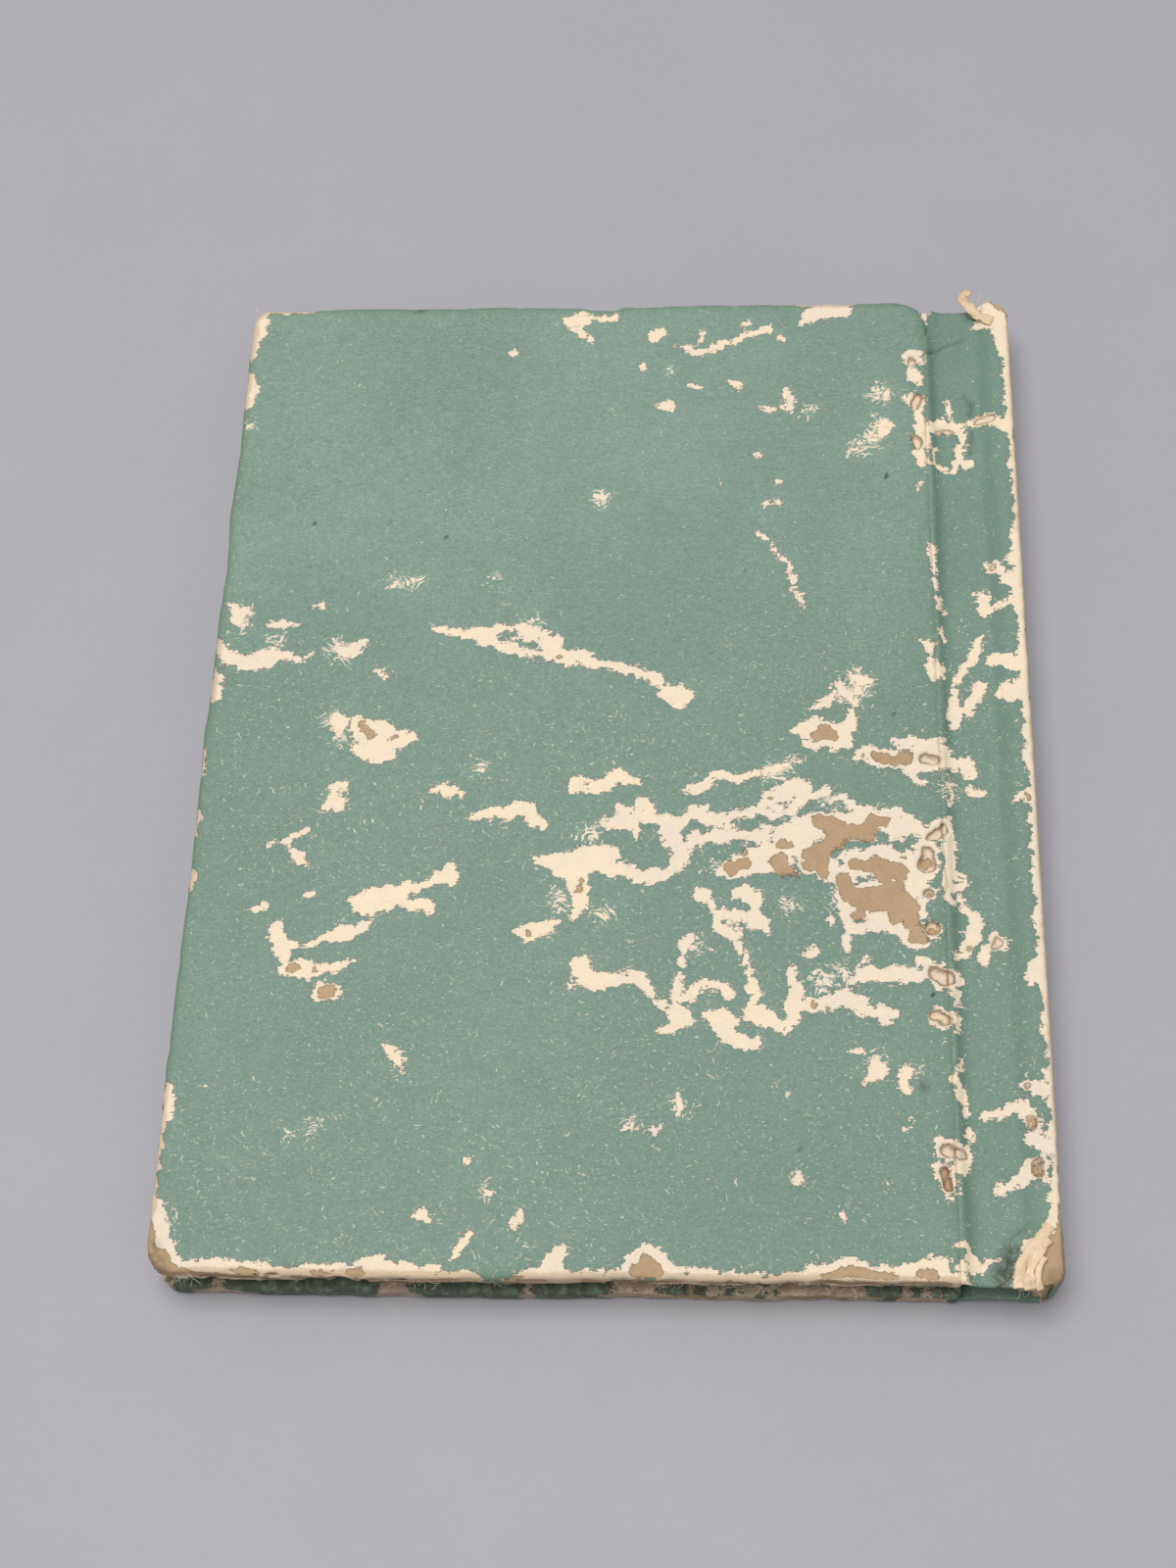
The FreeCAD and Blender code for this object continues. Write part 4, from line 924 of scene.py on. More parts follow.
def coverPlate(low, high, step, look):
    # lattice of a board wrapped in paper; its outer face is up, the inner face is one flat polygon
    xs, ys = spacing(low[0], high[0], step, 0.3), spacing(low[1], high[1], step, 0.3)
    nx, ny = len(xs), len(ys)
    gridX, gridY = (a.ravel() for a in np.meshgrid(xs, ys, indexing="ij"))
    radii = {
        (-1, 1): look["foreCorner"], (-1, -1): look["foreTailCorner"], (1, 1): look["headCorner"],
        (1, -1): look["tailCorner"]}
    x, y, inset, wayX, wayY = roundCorners(gridX, gridY, low, high, radii)
    thick = high[2] - low[2]
    ring = [i * ny for i in range(nx)] + [(nx - 1) * ny + j for j in range(1, ny)]
    ring += [i * ny + ny - 1 for i in range(nx - 2, -1, -1)] + [j for j in range(ny - 2, 0, -1)]
    ring = np.array(ring)
    sides = np.concatenate(
        [np.arange(0.25, 1.0, 0.25), np.linspace(1.0, thick - 0.45, 5), [thick - 0.2, thick]])
    flatX, flatY, depth, inward = [x], [y], [np.zeros(len(x))], [inset]
    outX, outY = [wayX], [wayY]
    for drop in sides:
        for store, value in (
                (flatX, x[ring]), (flatY, y[ring]), (depth, np.full(len(ring), drop)),
                (inward, np.zeros(len(ring))), (outX, wayX[ring]), (outY, wayY[ring])):
            store.append(value)
    for turnIn in (0.3, 0.7, 1.6, 3.4):
        for store, value in (
                (flatX, x[ring]), (flatY, y[ring]), (depth, np.full(len(ring), thick)),
                (inward, np.full(len(ring), turnIn)), (outX, wayX[ring]), (outY, wayY[ring])):
            store.append(value)
    flatX, flatY, depth, inward, outX, outY = (
        np.concatenate(a) for a in (flatX, flatY, depth, inward, outX, outY))
    # round both arrises: near an edge the square section is pulled onto a quarter circle
    upper = depth < thick / 2
    radius = np.where(upper, look["arris"], look["innerArris"])
    fromFace = np.where(upper, depth, thick - depth)
    a, b = np.maximum(radius - inward, 0), np.maximum(radius - fromFace, 0)
    length = np.maximum(np.hypot(a, b), 1e-9)
    near = (a > 0) & (b > 0)
    newIn = np.where(near, radius - radius * a / length, inward)
    newFace = np.where(near, radius - radius * b / length, fromFace)
    top = np.arange(len(flatX)) < nx * ny
    shift = np.where(top, newIn - inward, newIn)
    pointX, pointY = flatX - outX * shift, flatY - outY * shift
    pointZ = high[2] - np.where(upper, newFace, thick - newFace)
    beyond = np.where(top, 0, depth)
    unrolledX, unrolledY = flatX + outX * beyond, flatY + outY * beyond
    edge = np.where(top, inward, 0)
    # hand cut and handled: the outline wavers, the board bows a little
    waver = look["edgeWobble"] * (
        softNoise(pointX, pointY, 9, 21) + 0.5 * softNoise(pointX, pointY, 2.2, 22)
    ) * smoothStep(5, 0, edge)
    waver += look["nick"] * smoothStep(
        3.3, 1.4, np.abs(pointX + 3.3)) * (outY > 0.5) * smoothStep(3, 0, edge)
    pointX, pointY = pointX - outX * (waver + 0.1), pointY - outY * (waver + 0.1)
    pointX = pointX + look["foreLean"] * pointY * smoothStep(20, low[0], pointX)
    # the inner face lies a little inside the pastedown that is glued over it
    under = (depth > thick - 0.01) & ((inward > 3) | (flatX > high[0] - 0.1))
    pointZ = pointZ + look["pasteSink"] * under
    faces = [
        [
            i * ny + j, (i + 1) * ny + j, (i + 1) * ny + j + 1, i * ny + j + 1
        ] for i in range(nx - 1) for j in range(ny - 1)]
    count = len(ring)
    loops = [list(ring)] + [
        list(nx * ny + k * count + np.arange(count)) for k in range(len(sides) + 4)]
    for upperLoop, lowerLoop in zip(loops, loops[1:]):
        faces += [
            [
                upperLoop[k], lowerLoop[k], lowerLoop[(k + 1) % count], upperLoop[(k + 1) % count]
            ] for k in range(count)]
    faces.append(loops[-1][::-1])
    return np.stack([pointX, pointY, pointZ], 1), faces, unrolledX, unrolledY, edge


def storeWear(piece, x, y, marks, look, edge, sunk):
    rubbed, bare, pit = wornLayers(x, y, marks, look)
    crease = markDistance(x, y, marks["creases"])
    storeValues(piece, "rubbed", rubbed)
    storeValues(piece, "bare", bare)
    storeValues(piece, "pit", pit)
    storeValues(piece, "scuffed", markDistance(x, y, marks["scuffs"]))
    # creases are darkened with painted shade on top of the soil marks
    soil = smoothStep(
        1.2, -0.4, markDistance(x, y, marks["soil"])) + 0.7 * smoothStep(0.22, -0.1, crease)
    storeValues(piece, "soil", np.clip(soil, 0, 1))
    storeValues(piece, "ink", smoothStep(0.12, -0.12, markDistance(x, y, marks["ink"])))
    storeValues(piece, "edge", edge)
    storeValues(piece, "sunk", sunk)
    storeValues(piece, "speckle", smoothStep(25, 5, y) * 0.8 + 0.3 * softNoise(x, y, 14, 31))
    heights = -look["paperRelief"] * smoothStep(
        0.2, -0.15, rubbed) - look["boardRelief"] * smoothStep(0.2, -0.3, bare)
    heights -= look["pitDepth"] * smoothStep(0.18, -0.35, pit)
    heights += look["rimHeight"] * smoothStep(0.9, 0.45, pit) * smoothStep(0.05, 0.4, pit)
    heights -= look["creaseDepth"] * smoothStep(0.3, -0.1, crease)
    heights += look["creaseDepth"] * 0.5 * smoothStep(0.9, 0.5, crease) * smoothStep(
        0.2, 0.5, crease)
    heights += 0.02 * softNoise(x, y, 1.3, 41)
    return heights


print("back cover")
points, faces, flatX, flatY, edge = coverPlate(backLow, backHigh, coverLook["step"], coverLook)
points[:, 2] += coverLook["bow"] * (
    softNoise(points[:, 0], points[:, 1], 34, 51) - 1) * smoothStep(0, 6, edge)
backCover = plainMesh("backCover", points, faces, backMaterial)


# painted shade: darker beside the joint, on the lower half and towards the spine
shade = 0.2 * smoothStep(
    36, 42, flatX) + 0.33 * smoothStep(34, 2, flatY) + 0.12 * smoothStep(0, 30, flatX)
pushAlongNormals(backCover, storeWear(backCover, flatX, flatY, backMarks, coverLook, edge, shade))
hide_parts("back_board", "back_cover_paper")
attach(backCover, "back_cover")


# wear on the underside, hidden at rest, with painted shade along its edges
frontMarks = {
    "rubbed": [
        [(-54.2, 70.5, 1.6), (-53.8, 64, 0.7)],
        [(-54.2, -70.5, 2), (-53.9, -60, 1), (-54.2, -48, 0.5)],
        [(-54.2, -20, 0.5), (-54.1, 6, 0.8), (-54.3, 22, 0.3)], [(-48, -71, 0.9), (-42, -71, 0.5)],
        [(-26, -70.9, 0.9), (-22, -70.9, 0.8)], [(-9.5, -71.2, 0.6), (-8.6, -71.2, 0.4)],
        [(0, -71.2, 0.6), (8, -71, 0.8)], [(9.6, -71, 0.8), (16, -71, 0.9)],
        [(18, -71, 0.8), (32, -71.1, 1)], [(36, -71, 0.7), (40, -71.1, 0.8)],
        [(-30, 70.9, 0.8), (-12, 70.9, 0.6)], [(20, 70.9, 0.9), (34, 71, 0.7)],
        [(13, -71.8, 1.1), (17, -71.7, 0.9)], [(20, -71.8, 1), (30, -71.8, 1.1)],
        [(36.5, -71.8, 0.9), (39.5, -71.8, 0.8)], [(-25.5, -71.7, 1), (-23, -71.8, 0.8)],
        [(-9, -71.8, 0.8)], [(2, -71.7, 0.8), (7, -71.8, 1)],
        [(-47, -71.8, 0.7), (-44, -71.8, 0.5)], [(-22, 30, 1.2), (-14, 26, 1.8), (-6, 25, 1)],
        [(10, -6, 1.4), (18, -10, 2.2), (27, -11, 1.2)],
        [(-34, -28, 1), (-27, -32, 1.6), (-20, -31, 0.6)], [(40.5, 40, 0.8), (40.8, 34, 0.9)],
        [(40.6, -12, 0.9), (40.8, -22, 1)],
        [(54.2, 68, 1.7), (54.2, 30, 1.2), (54.2, -14, 1.1), (54.2, -48, 1.3), (54.2, -66, 2)],
    ],
    "islands": [[(16, -9.6, 0.6)], [(-14.5, 26.4, 0.5)]],
    "bare": [
        [(-54.8, -69, 1.2), (-53.4, -70.6, 1)], [(9.4, -71.8, 0.9), (11.6, -71.8, 0.7)],
        [(33, -71.9, 0.7), (35, -71.8, 0.5)], [(12, -71.3, 0.4), (14, -71.3, 0.3)],
        [(22, -71.3, 0.5), (29, -71.3, 0.5)], [(19.5, -10.6, 0.8), (21.4, -10.8, 0.6)],
        [(54.4, -67.5, 1.6), (53.4, -70.4, 1.4)]],
    "creamIslands": [[(25, -71, 0.2)]], "pits": [[(40.6, -15, 0.5)], [(40.7, 37, 0.45)]],
    "creases": [[(47.6, 60, 0.1), (48, 54, 0.15)]],
    "scuffs": [[(-40, 10, 1.6)], [(30, 30, 1.8)], [(2, -40, 1.6)], [(-20, -50, 1.4)]],
    # the rows along the cover's edges are painted shade for the lower board, which lies in the upper
    # board's shadow
    "soil": [
        [(-54, -72.2, 1.4), (46, -72.2, 1.4)], [(-56, -68, 1.2), (-56, 68, 1.2)],
        [(-52, 72.2, 1.2), (44, 72.2, 1.2)], [(49.5, -40, 0.4), (49.5, 30, 0.5)]],
    "ink": [[(12, 41, 0.12)]],
}


def flipped(points, faces):
    # the front cover is built face up and turned over, so that one builder makes both
    points = points.copy()
    points[:, 2] = bookTop - points[:, 2]
    return points, [list(face)[::-1] for face in faces]


print("front cover")
frontBuilt = np.array([frontLow[0], frontLow[1], backLow[2]]), np.array(
    [frontHigh[0], frontHigh[1], backHigh[2]])
points, faces, flatX, flatY, edge = coverPlate(*frontBuilt, coverLook["coarseStep"], coverLook)
points, faces = flipped(points, faces)
points[:, 1] -= coverLook["tailSlip"]
frontCover = plainMesh("frontCover", points, faces, backMaterial)
noShade = np.zeros(len(flatX))
pushAlongNormals(
    frontCover, storeWear(frontCover, flatX, flatY, frontMarks, coverLook, edge, noShade))
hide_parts("front_board", "front_cover_paper")
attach(frontCover, "front_cover")


# joint strips and spine wrap
stripLook = {
    "along": 0.45, "across": 0.36, "grooveFloor": 7.9, "thickness": 0.24, "spineArris": 0.8,
    "stripEnd": 69.0, "tailEnd": 69.85, "spineEnd": 69.9, "overlap": 0.7, "slopeMiddle": 50.2,
    "cornerRound": 2.0, "spineInset": 0.05, "spineLap": 0.2,
}


def stripSection(look):
    # half section from the board's edge across the groove, up to the spine's top and round its back
    floor, top, back = look["grooveFloor"], bookTop - 0.05, spineHigh[0] - look["spineInset"]
    lip = backHigh[0] - look["overlap"]
    keys = [
        (lip, bookTop - 0.04), (lip + 0.45, bookTop - 0.1), (lip + 0.8, bookTop - 0.32),
        (lip + 1.2, floor + 0.38), (lip + 1.7, floor + 0.1), (44.6, floor), (46.6, floor + 0.04),
        (48.2, floor + 0.12), (49.2, floor + 0.32), (50.1, floor + 0.68), (51, top - 0.16),
        (52, top - 0.02), (back - look["spineArris"], top)]
    for turn in np.linspace(15, 90, 6):
        angle = math.radians(turn)
        keys.append(
            (
                back - look["spineArris"] * (1 - math.sin(angle)),
                top - look["spineArris"] * (1 - math.cos(angle))))
    keys.append((back, middleHeight - look["spineLap"]))
    keys = np.array(keys)
    run = np.concatenate([[0], np.cumsum(np.hypot(*np.diff(keys, axis=0).T))])
    s = np.linspace(0, run[-1], int(run[-1] / look["across"]) + 1)
    return np.interp(s, run, keys[:, 0]), np.interp(s, run, keys[:, 1]), s


def sheetShell(outer, thickness):
    # outer is an (n, m, 3) lattice; returns a closed thin shell and its faces
    n, m = outer.shape[:2]
    du, dv = np.gradient(outer, axis=0), np.gradient(outer, axis=1)
    normal = np.cross(du, dv)
    normal /= np.linalg.norm(normal, axis=2, keepdims=True)
    inner = outer - normal * thickness
    points = np.concatenate([outer.reshape(-1, 3), inner.reshape(-1, 3)])
    half = n * m
    faces = []
    for i in range(n - 1):
        for j in range(m - 1):
            a, b, c, d = i * m + j, (i + 1) * m + j, (i + 1) * m + j + 1, i * m + j + 1
            faces += [[a, b, c, d], [half + d, half + c, half + b, half + a]]
    rim = [i * m for i in range(n)] + [(n - 1) * m + j for j in range(1, m)]
    rim += [i * m + m - 1 for i in range(n - 2, -1, -1)] + [j for j in range(m - 2, 0, -1)]
    faces += [
        [
            rim[k], half + rim[k], half + rim[(k + 1) % len(rim)], rim[(k + 1) % len(rim)]
        ] for k in range(len(rim))]
    return points, faces


def jointStrip(name, marks, look, seed, flip=False):
    sx, sz, s = stripSection(look)
    ends = look["stripEnd"] + (look["spineEnd"] - look["stripEnd"]) * smoothStep(48.5, 51, sx)
    rows = np.linspace(-1, 1, int(2 * look["spineEnd"] / look["along"]) + 1)
    x, z = np.repeat(sx, len(rows)), np.repeat(sz, len(rows))
    y = np.where(rows < 0, look["tailEnd"], ends[:, None]).ravel() * np.tile(rows, len(sx))
    # the wrap round the spine is opened out flat past this line
    bend = spineHigh[0] - 0.9
    past = sx > bend
    flatX = np.repeat(
        sx + np.maximum(s - s[np.searchsorted(sx, bend)], 0) * past - (sx - bend) * past, len(rows))
    over = smoothStep(49.5, 48, x) * smoothStep(43.2, 44.5, x)
    z = z + 0.13 * softNoise(x * 0.5, y, 7, seed) * smoothStep(43.2, 44.5, x) + 0.1 * softNoise(
        x, y, 2.6, seed + 1) * over
    # beside the board's rounded head corner the lip drops, so that it does not stand in the air
    z -= 1.3 * smoothStep(63.5, 66.5, y) * smoothStep(43.6, 42.2, x)
    z -= 0.5 * smoothStep(69.2, 69.9, -y) * smoothStep(43.6, 42.2, x)
    # the spine's corners are knocked round
    bump = np.clip(np.abs(y) - (look["spineEnd"] - look["cornerRound"]), 0, look["cornerRound"])
    x = x - (
        look["cornerRound"] - np.sqrt(look["cornerRound"] ** 2 - bump ** 2 * 0.96)
    ) * smoothStep(51, 53.6, x)
    # the strip's two ends are handled and dip a little
    z -= 0.5 * smoothStep(62, 70, np.abs(y)) * smoothStep(50.5, 47.5, x) * smoothStep(42.5, 45, x)
    outer = np.stack([x, y, z], 1).reshape(len(sx), len(rows), 3)
    points, faces = sheetShell(outer, look["thickness"])
    flatX, flatY = np.concatenate([flatX, flatX]), np.concatenate([y, y])
    if flip:
        points, faces = flipped(points, faces)
    piece = plainMesh(name, points, faces, backMaterial)
    # the slope term paints an olive shade band on the slope up to the spine
    slope = np.abs(flatX - look["slopeMiddle"]) * 0.8 + 0.9
    edge = np.minimum.reduce(
        [slope, np.abs(flatX - spineHigh[0]) * 0.6 + 0.6, look["spineEnd"] - np.abs(flatY) + 0.9])
    # painted shade across the strip; the foot of the board's step and the slope up to the spine are the
    # darkest
    foot = smoothStep(42, 43, flatX) * smoothStep(44.6, 43.2, flatX)
    bank = smoothStep(48.8, 49.8, flatX) * smoothStep(51.8, 50.6, flatX)
    sunk = 0.55 + 0.4 * foot + 0.25 * bank
    sunk = sunk * smoothStep(41.8, 42.4, flatX) + 0.35 * smoothStep(42.4, 41.8, flatX)
    heights = storeWear(piece, flatX, flatY, marks, coverLook, edge, sunk)
    heights[len(heights) // 2:] = 0
    pushAlongNormals(piece, heights)
    return piece


print("joint strips")
backJoint = jointStrip("backJoint", backMarks, stripLook, 61)
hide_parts("back_joint_paper", "spine_cover_paper")
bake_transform(backJoint)
frontJoint = jointStrip("frontJoint", frontMarks, dict(stripLook, spineInset=0.11), 71, flip=True)
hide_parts("front_joint_paper")
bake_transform(frontJoint)


# spine board
print("spine board")
spineLook = {"step": 0.45, "round": 0.7, "pulp": 0.22, "inset": 0.35}


def pulpBlock(name, low, high, step, radius, pulp, seed, material):
    # closed lattice box, arrises rounded, surface roughened like torn pulp board
    counts = [max(4, int((high[k] - low[k]) / step)) for k in range(3)]
    index, points, faces = {}, [], []

    def corner(i, j, k):
        if (i, j, k) not in index:
            index[(i, j, k)] = len(points)
            points.append(
                [low[n] + (high[n] - low[n]) * t / counts[n] for n, t in enumerate((i, j, k))])
        return index[(i, j, k)]

    for axis in range(3):
        u, v = (axis + 1) % 3, (axis + 2) % 3
        for side in (0, counts[axis]):
            for a in range(counts[u]):
                for b in range(counts[v]):
                    square = []
                    for da, db in ((0, 0), (1, 0), (1, 1), (0, 1)):
                        place = [0, 0, 0]
                        place[axis], place[u], place[v] = side, a + da, b + db
                        square.append(corner(*place))
                    faces.append(square if side else square[::-1])
    points = np.array(points)
    core = np.clip(points, np.array(low) + radius, np.array(high) - radius)
    way = points - core
    points = core + way / np.maximum(np.linalg.norm(way, axis=1, keepdims=True), 1e-9) * radius
    # the outer ends are knocked round like the wrap over them
    rounding = stripLook["cornerRound"]
    bump = np.clip(np.abs(points[:, 1]) - (stripLook["spineEnd"] - rounding), 0, rounding)
    points[:, 0] -= (
        rounding - np.sqrt(rounding ** 2 - bump ** 2 * 0.96)
    ) * smoothStep(low[0], high[0], points[:, 0])
    piece = plainMesh(name, points, faces, material)
    ends = smoothStep(0.6, 0, np.minimum(points[:, 1] - low[1], high[1] - points[:, 1]))
    pushAlongNormals(
        piece,
        pulp * ends * (
            softNoise(
                points[:, 0] + points[:, 2] * 1.7, points[:, 2] - points[:, 0], 0.8, seed) - 0.3))
    return piece


inset = spineLook["inset"]
spineBoard = pulpBlock(
    "spineBoard", spineBoardLow + [0, inset, inset], spineBoardHigh - [inset, inset, inset],
    spineLook["step"], spineLook["round"], spineLook["pulp"], 81, pulpMaterial)
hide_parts("spine_board")
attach(spineBoard, "text_block")

# pastedowns and endpaper folds
print("pastedowns and endpapers")
pasteLook = {"step": 1.2, "turnIn": 9.0, "ridge": 0.035, "waver": 0.25}


def pastedown(name, node, body, faceUp, seed, look):
    low, high = boxMm(node)
    xs, ys = np.arange(low[0], high[0] + 0.01, look["step"]), np.arange(
        low[1], high[1] + 0.01, look["step"])
    xs[-1], ys[-1] = high[0], high[1]
    x, y = (a.ravel() for a in np.meshgrid(xs, ys, indexing="ij"))
    fromEdge = np.minimum.reduce([x - low[0], y - low[1], high[1] - y])
    drop = 0.03 + look["ridge"] * smoothStep(
        look["turnIn"] - 0.8, look["turnIn"] + 0.8, fromEdge) + 0.012 * softNoise(x, y, 11, seed)
    waver = look["waver"] * softNoise(x, y, 8, seed + 1) * smoothStep(2.5, 0, fromEdge)
    outer = np.stack([x, y + waver, high[2] - drop], 1).reshape(len(xs), len(ys), 3)
    points, faces = sheetShell(outer, 0.3)
    if not faceUp:
        points[:, 2] = low[2] + high[2] - points[:, 2]
        faces = [face[::-1] for face in faces]
    piece = plainMesh(name, points, faces, endpaperMaterial)
    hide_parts(node)
    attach(piece, body)
    return piece


pastedown("backPastedown", "back_pastedown", "back_cover", False, 91, pasteLook)
pastedown("frontPastedown", "front_pastedown", "front_cover", True, 92, pasteLook)


foldLook = {"anchor": 0.9, "bendFrom": 0.45, "bendTo": 0.05}


def foldStrip(name, node, seed):
    # the endpaper's fold between the pastedown and the block, a thin flexible strip
    low, high = boxMm(node)
    xs, ys = np.linspace(
        low[0], high[0] + foldLook["anchor"], 45), np.linspace(low[1], high[1], 100)
    x, y = (a.ravel() for a in np.meshgrid(xs, ys, indexing="ij"))
    z = high[2] - 0.02 + 0.012 * softNoise(x, y, 3, seed)
    points, faces = sheetShell(
        np.stack([x, y, z], 1).reshape(len(xs), len(ys), 3), max(high[2] - low[2] - 0.04, 0.06))
    piece = plainMesh(name, points, faces, endpaperMaterial)
    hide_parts(node)
    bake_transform(piece)


foldStrip("backEndpaperFold", "back_endpaper_fold", 93)
foldStrip("frontEndpaperFold", "front_endpaper_fold", 94)

# leaves
print("leaves")
leafLook = {"Cell Size": 2.4, "Edge Waver": 0.14, "Thickness": 0.085, "Surface Wave": 0.006}


def leafTree():
    tree = bpy.data.node_groups.new("Trimmed Leaf", "GeometryNodeTree")
    for title, kind in (
            ("Geometry", "NodeSocketGeometry"), ("Width", "NodeSocketFloat"),
            ("Height", "NodeSocketFloat"), ("Centre", "NodeSocketVector"),
            ("Cell Size", "NodeSocketFloat"), ("Edge Waver", "NodeSocketFloat"),
            ("Thickness", "NodeSocketFloat"), ("Surface Wave", "NodeSocketFloat"),
            ("Seed", "NodeSocketInt"), ("Paper", "NodeSocketMaterial")):
        tree.interface.new_socket(title, in_out="INPUT", socket_type=kind)
    tree.interface.new_socket("Geometry", in_out="OUTPUT", socket_type="NodeSocketGeometry")
    take, give = tree.nodes.new("NodeGroupInput").outputs, tree.nodes.new("NodeGroupOutput").inputs
    countX = addNode(
        tree, "ShaderNodeMath", {0: take["Width"], 1: take["Cell Size"]}, operation="DIVIDE").outputs[0]
    countY = addNode(
        tree, "ShaderNodeMath", {0: take["Height"], 1: take["Cell Size"]}, operation="DIVIDE"
    ).outputs[0]
    grid = addNode(
        tree, "GeometryNodeMeshGrid",
        {
            "Size X": take["Width"], "Size Y": take["Height"], "Vertices X": countX,
            "Vertices Y": countY})
    place = addNode(tree, "GeometryNodeInputPosition").outputs[0]
    shift = addNode(tree, "ShaderNodeCombineXYZ", {2: take["Seed"]}).outputs[0]
    waver = addNode(
        tree, "ShaderNodeTexNoise",
        {
            "Vector": addNode(
                tree, "ShaderNodeVectorMath", {0: place, 1: shift}, operation="ADD").outputs[0],
            "Scale": 90.0, "Detail": 2.0}).outputs[1]
    centred = addNode(
        tree, "ShaderNodeVectorMath", {0: waver, 1: (0.5, 0.5, 0.5)}, operation="SUBTRACT").outputs[0]
    reach = addNode(
        tree, "ShaderNodeCombineXYZ",
        {0: take["Edge Waver"], 1: take["Edge Waver"], 2: take["Surface Wave"]}).outputs[0]
    offset = addNode(
        tree, "ShaderNodeVectorMath", {0: centred, 1: reach}, operation="MULTIPLY").outputs[0]
    moved = addNode(
        tree, "GeometryNodeSetPosition", {"Geometry": grid.outputs[0], "Offset": offset}).outputs[0]
    thick = addNode(
        tree, "GeometryNodeExtrudeMesh",
        {"Mesh": moved, "Offset Scale": take["Thickness"], "Individual": False})
    under = addNode(tree, "GeometryNodeFlipFaces", {"Mesh": moved}).outputs[0]
    joined = addNode(tree, "GeometryNodeJoinGeometry")
    tree.links.new(thick.outputs[0], joined.inputs[0])
    tree.links.new(under, joined.inputs[0])
    whole = addNode(
        tree, "GeometryNodeMergeByDistance", {"Geometry": joined.outputs[0], "Distance": 1e-6}
    ).outputs[0]
    seated = addNode(
        tree, "GeometryNodeTransform", {"Geometry": whole, "Translation": take["Centre"]}).outputs[0]
    real = addNode(tree, "GeometryNodeRealizeInstances", {"Geometry": seated}).outputs[0]
    painted = addNode(
        tree, "GeometryNodeSetMaterial", {"Geometry": real, "Material": take["Paper"]}).outputs[0]
    tree.links.new(painted, give["Geometry"])
    return tree


def socketId(tree, title):
    return next(
        i.identifier for i in tree.interface.items_tree if i.name == title and i.in_out == "INPUT")


def treeMesh(name, tree, values, base=None):
    # runs a node tree once and keeps its result as a plain mesh
    carrier = bpy.data.objects.new(name, base or bpy.data.meshes.new(name + "Base"))
    scene.collection.objects.link(carrier)
    modifier = carrier.modifiers.new("Build", "NODES")
    modifier.node_group = tree
    for title, value in values.items():
        modifier[socketId(tree, title)] = value
    graph = bpy.context.evaluated_depsgraph_get()
    graph.update()
    mesh = bpy.data.meshes.new_from_object(carrier.evaluated_get(graph))
    carrier.modifiers.remove(modifier)
    carrier.data = mesh
    mesh.name = name
    return carrier


leafNodes = ["front_flyleaf"] + ["leaf_%02d" % (n + 1) for n in range(24)] + ["back_flyleaf"]
trimmedLeaf = leafTree()
for number, node in enumerate(leafNodes):
    low, high = boxMm(node)
    flyleaf = node.endswith("flyleaf")
    centre = (low + high) / 2
    values = {
        "Width": (high[0] - low[0] - 0.1) * mm, "Height": (high[1] - low[1] - 0.1) * mm,
        "Centre": [centre[0] * mm, centre[1] * mm, (low[2] + 0.008) * mm],
        "Cell Size": leafLook["Cell Size"] * mm, "Edge Waver": leafLook["Edge Waver"] * mm,
        "Thickness": leafLook["Thickness"] * mm, "Surface Wave": leafLook["Surface Wave"] * mm,
        "Seed": number + 1, "Paper": endpaperMaterial if flyleaf else pageMaterial,
    }
    first, *others = node.split("_")
    leaf = treeMesh(first + "".join(word.capitalize() for word in others), trimmedLeaf, values)
    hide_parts(node)
    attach(leaf, node + "_turning")

# torn plies and fibres
print("torn plies and fibres")


def paperRibbon(path, width, waver, seed):
    # thin torn strip of paper along a path of (x, y, z), its width lying across the path
    path = np.array(path, float)
    run = np.concatenate([[0], np.cumsum(np.linalg.norm(np.diff(path, axis=0), axis=1))])
    s = np.linspace(0, run[-1], max(8, int(run[-1] / 0.2)))
    line = np.stack([np.interp(s, run, path[:, k]) for k in range(3)], 1)
    for _ in range(3):
        line[1:-1] = (line[:-2] + 2 * line[1:-1] + line[2:]) / 4
    along = np.gradient(line, axis=0) * (1, 1, 0)
    across = np.cross(along, (0, 0, 1.0))
    across /= np.linalg.norm(across, axis=1, keepdims=True)
    rows = np.linspace(-0.5, 0.5, 8)
    size = width * (1 + 0.35 * softNoise(s, s * 0, 0.9, seed))
    outer = line[:, None, :] + across[:, None, :] * (rows[None, :, None] * size[:, None, None])
    lift = waver * softNoise(np.repeat(s, len(rows)), np.tile(rows * width, len(s)), 0.8, seed + 1)
    outer[:, :, 2] += lift.reshape(len(s), len(rows)) - 0.25 * np.abs(rows)[None, :] * width
    return sheetShell(outer, 0.14)


def joinShells(name, shells, material, body):
    points, faces = [], []
    for shellPoints, shellFaces in shells:
        start = sum(len(p) for p in points)
        points.append(shellPoints)
        faces += [[start + k for k in face] for face in shellFaces]
    piece = plainMesh(name, np.concatenate(points), faces, material)
    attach(piece, body)
    return piece


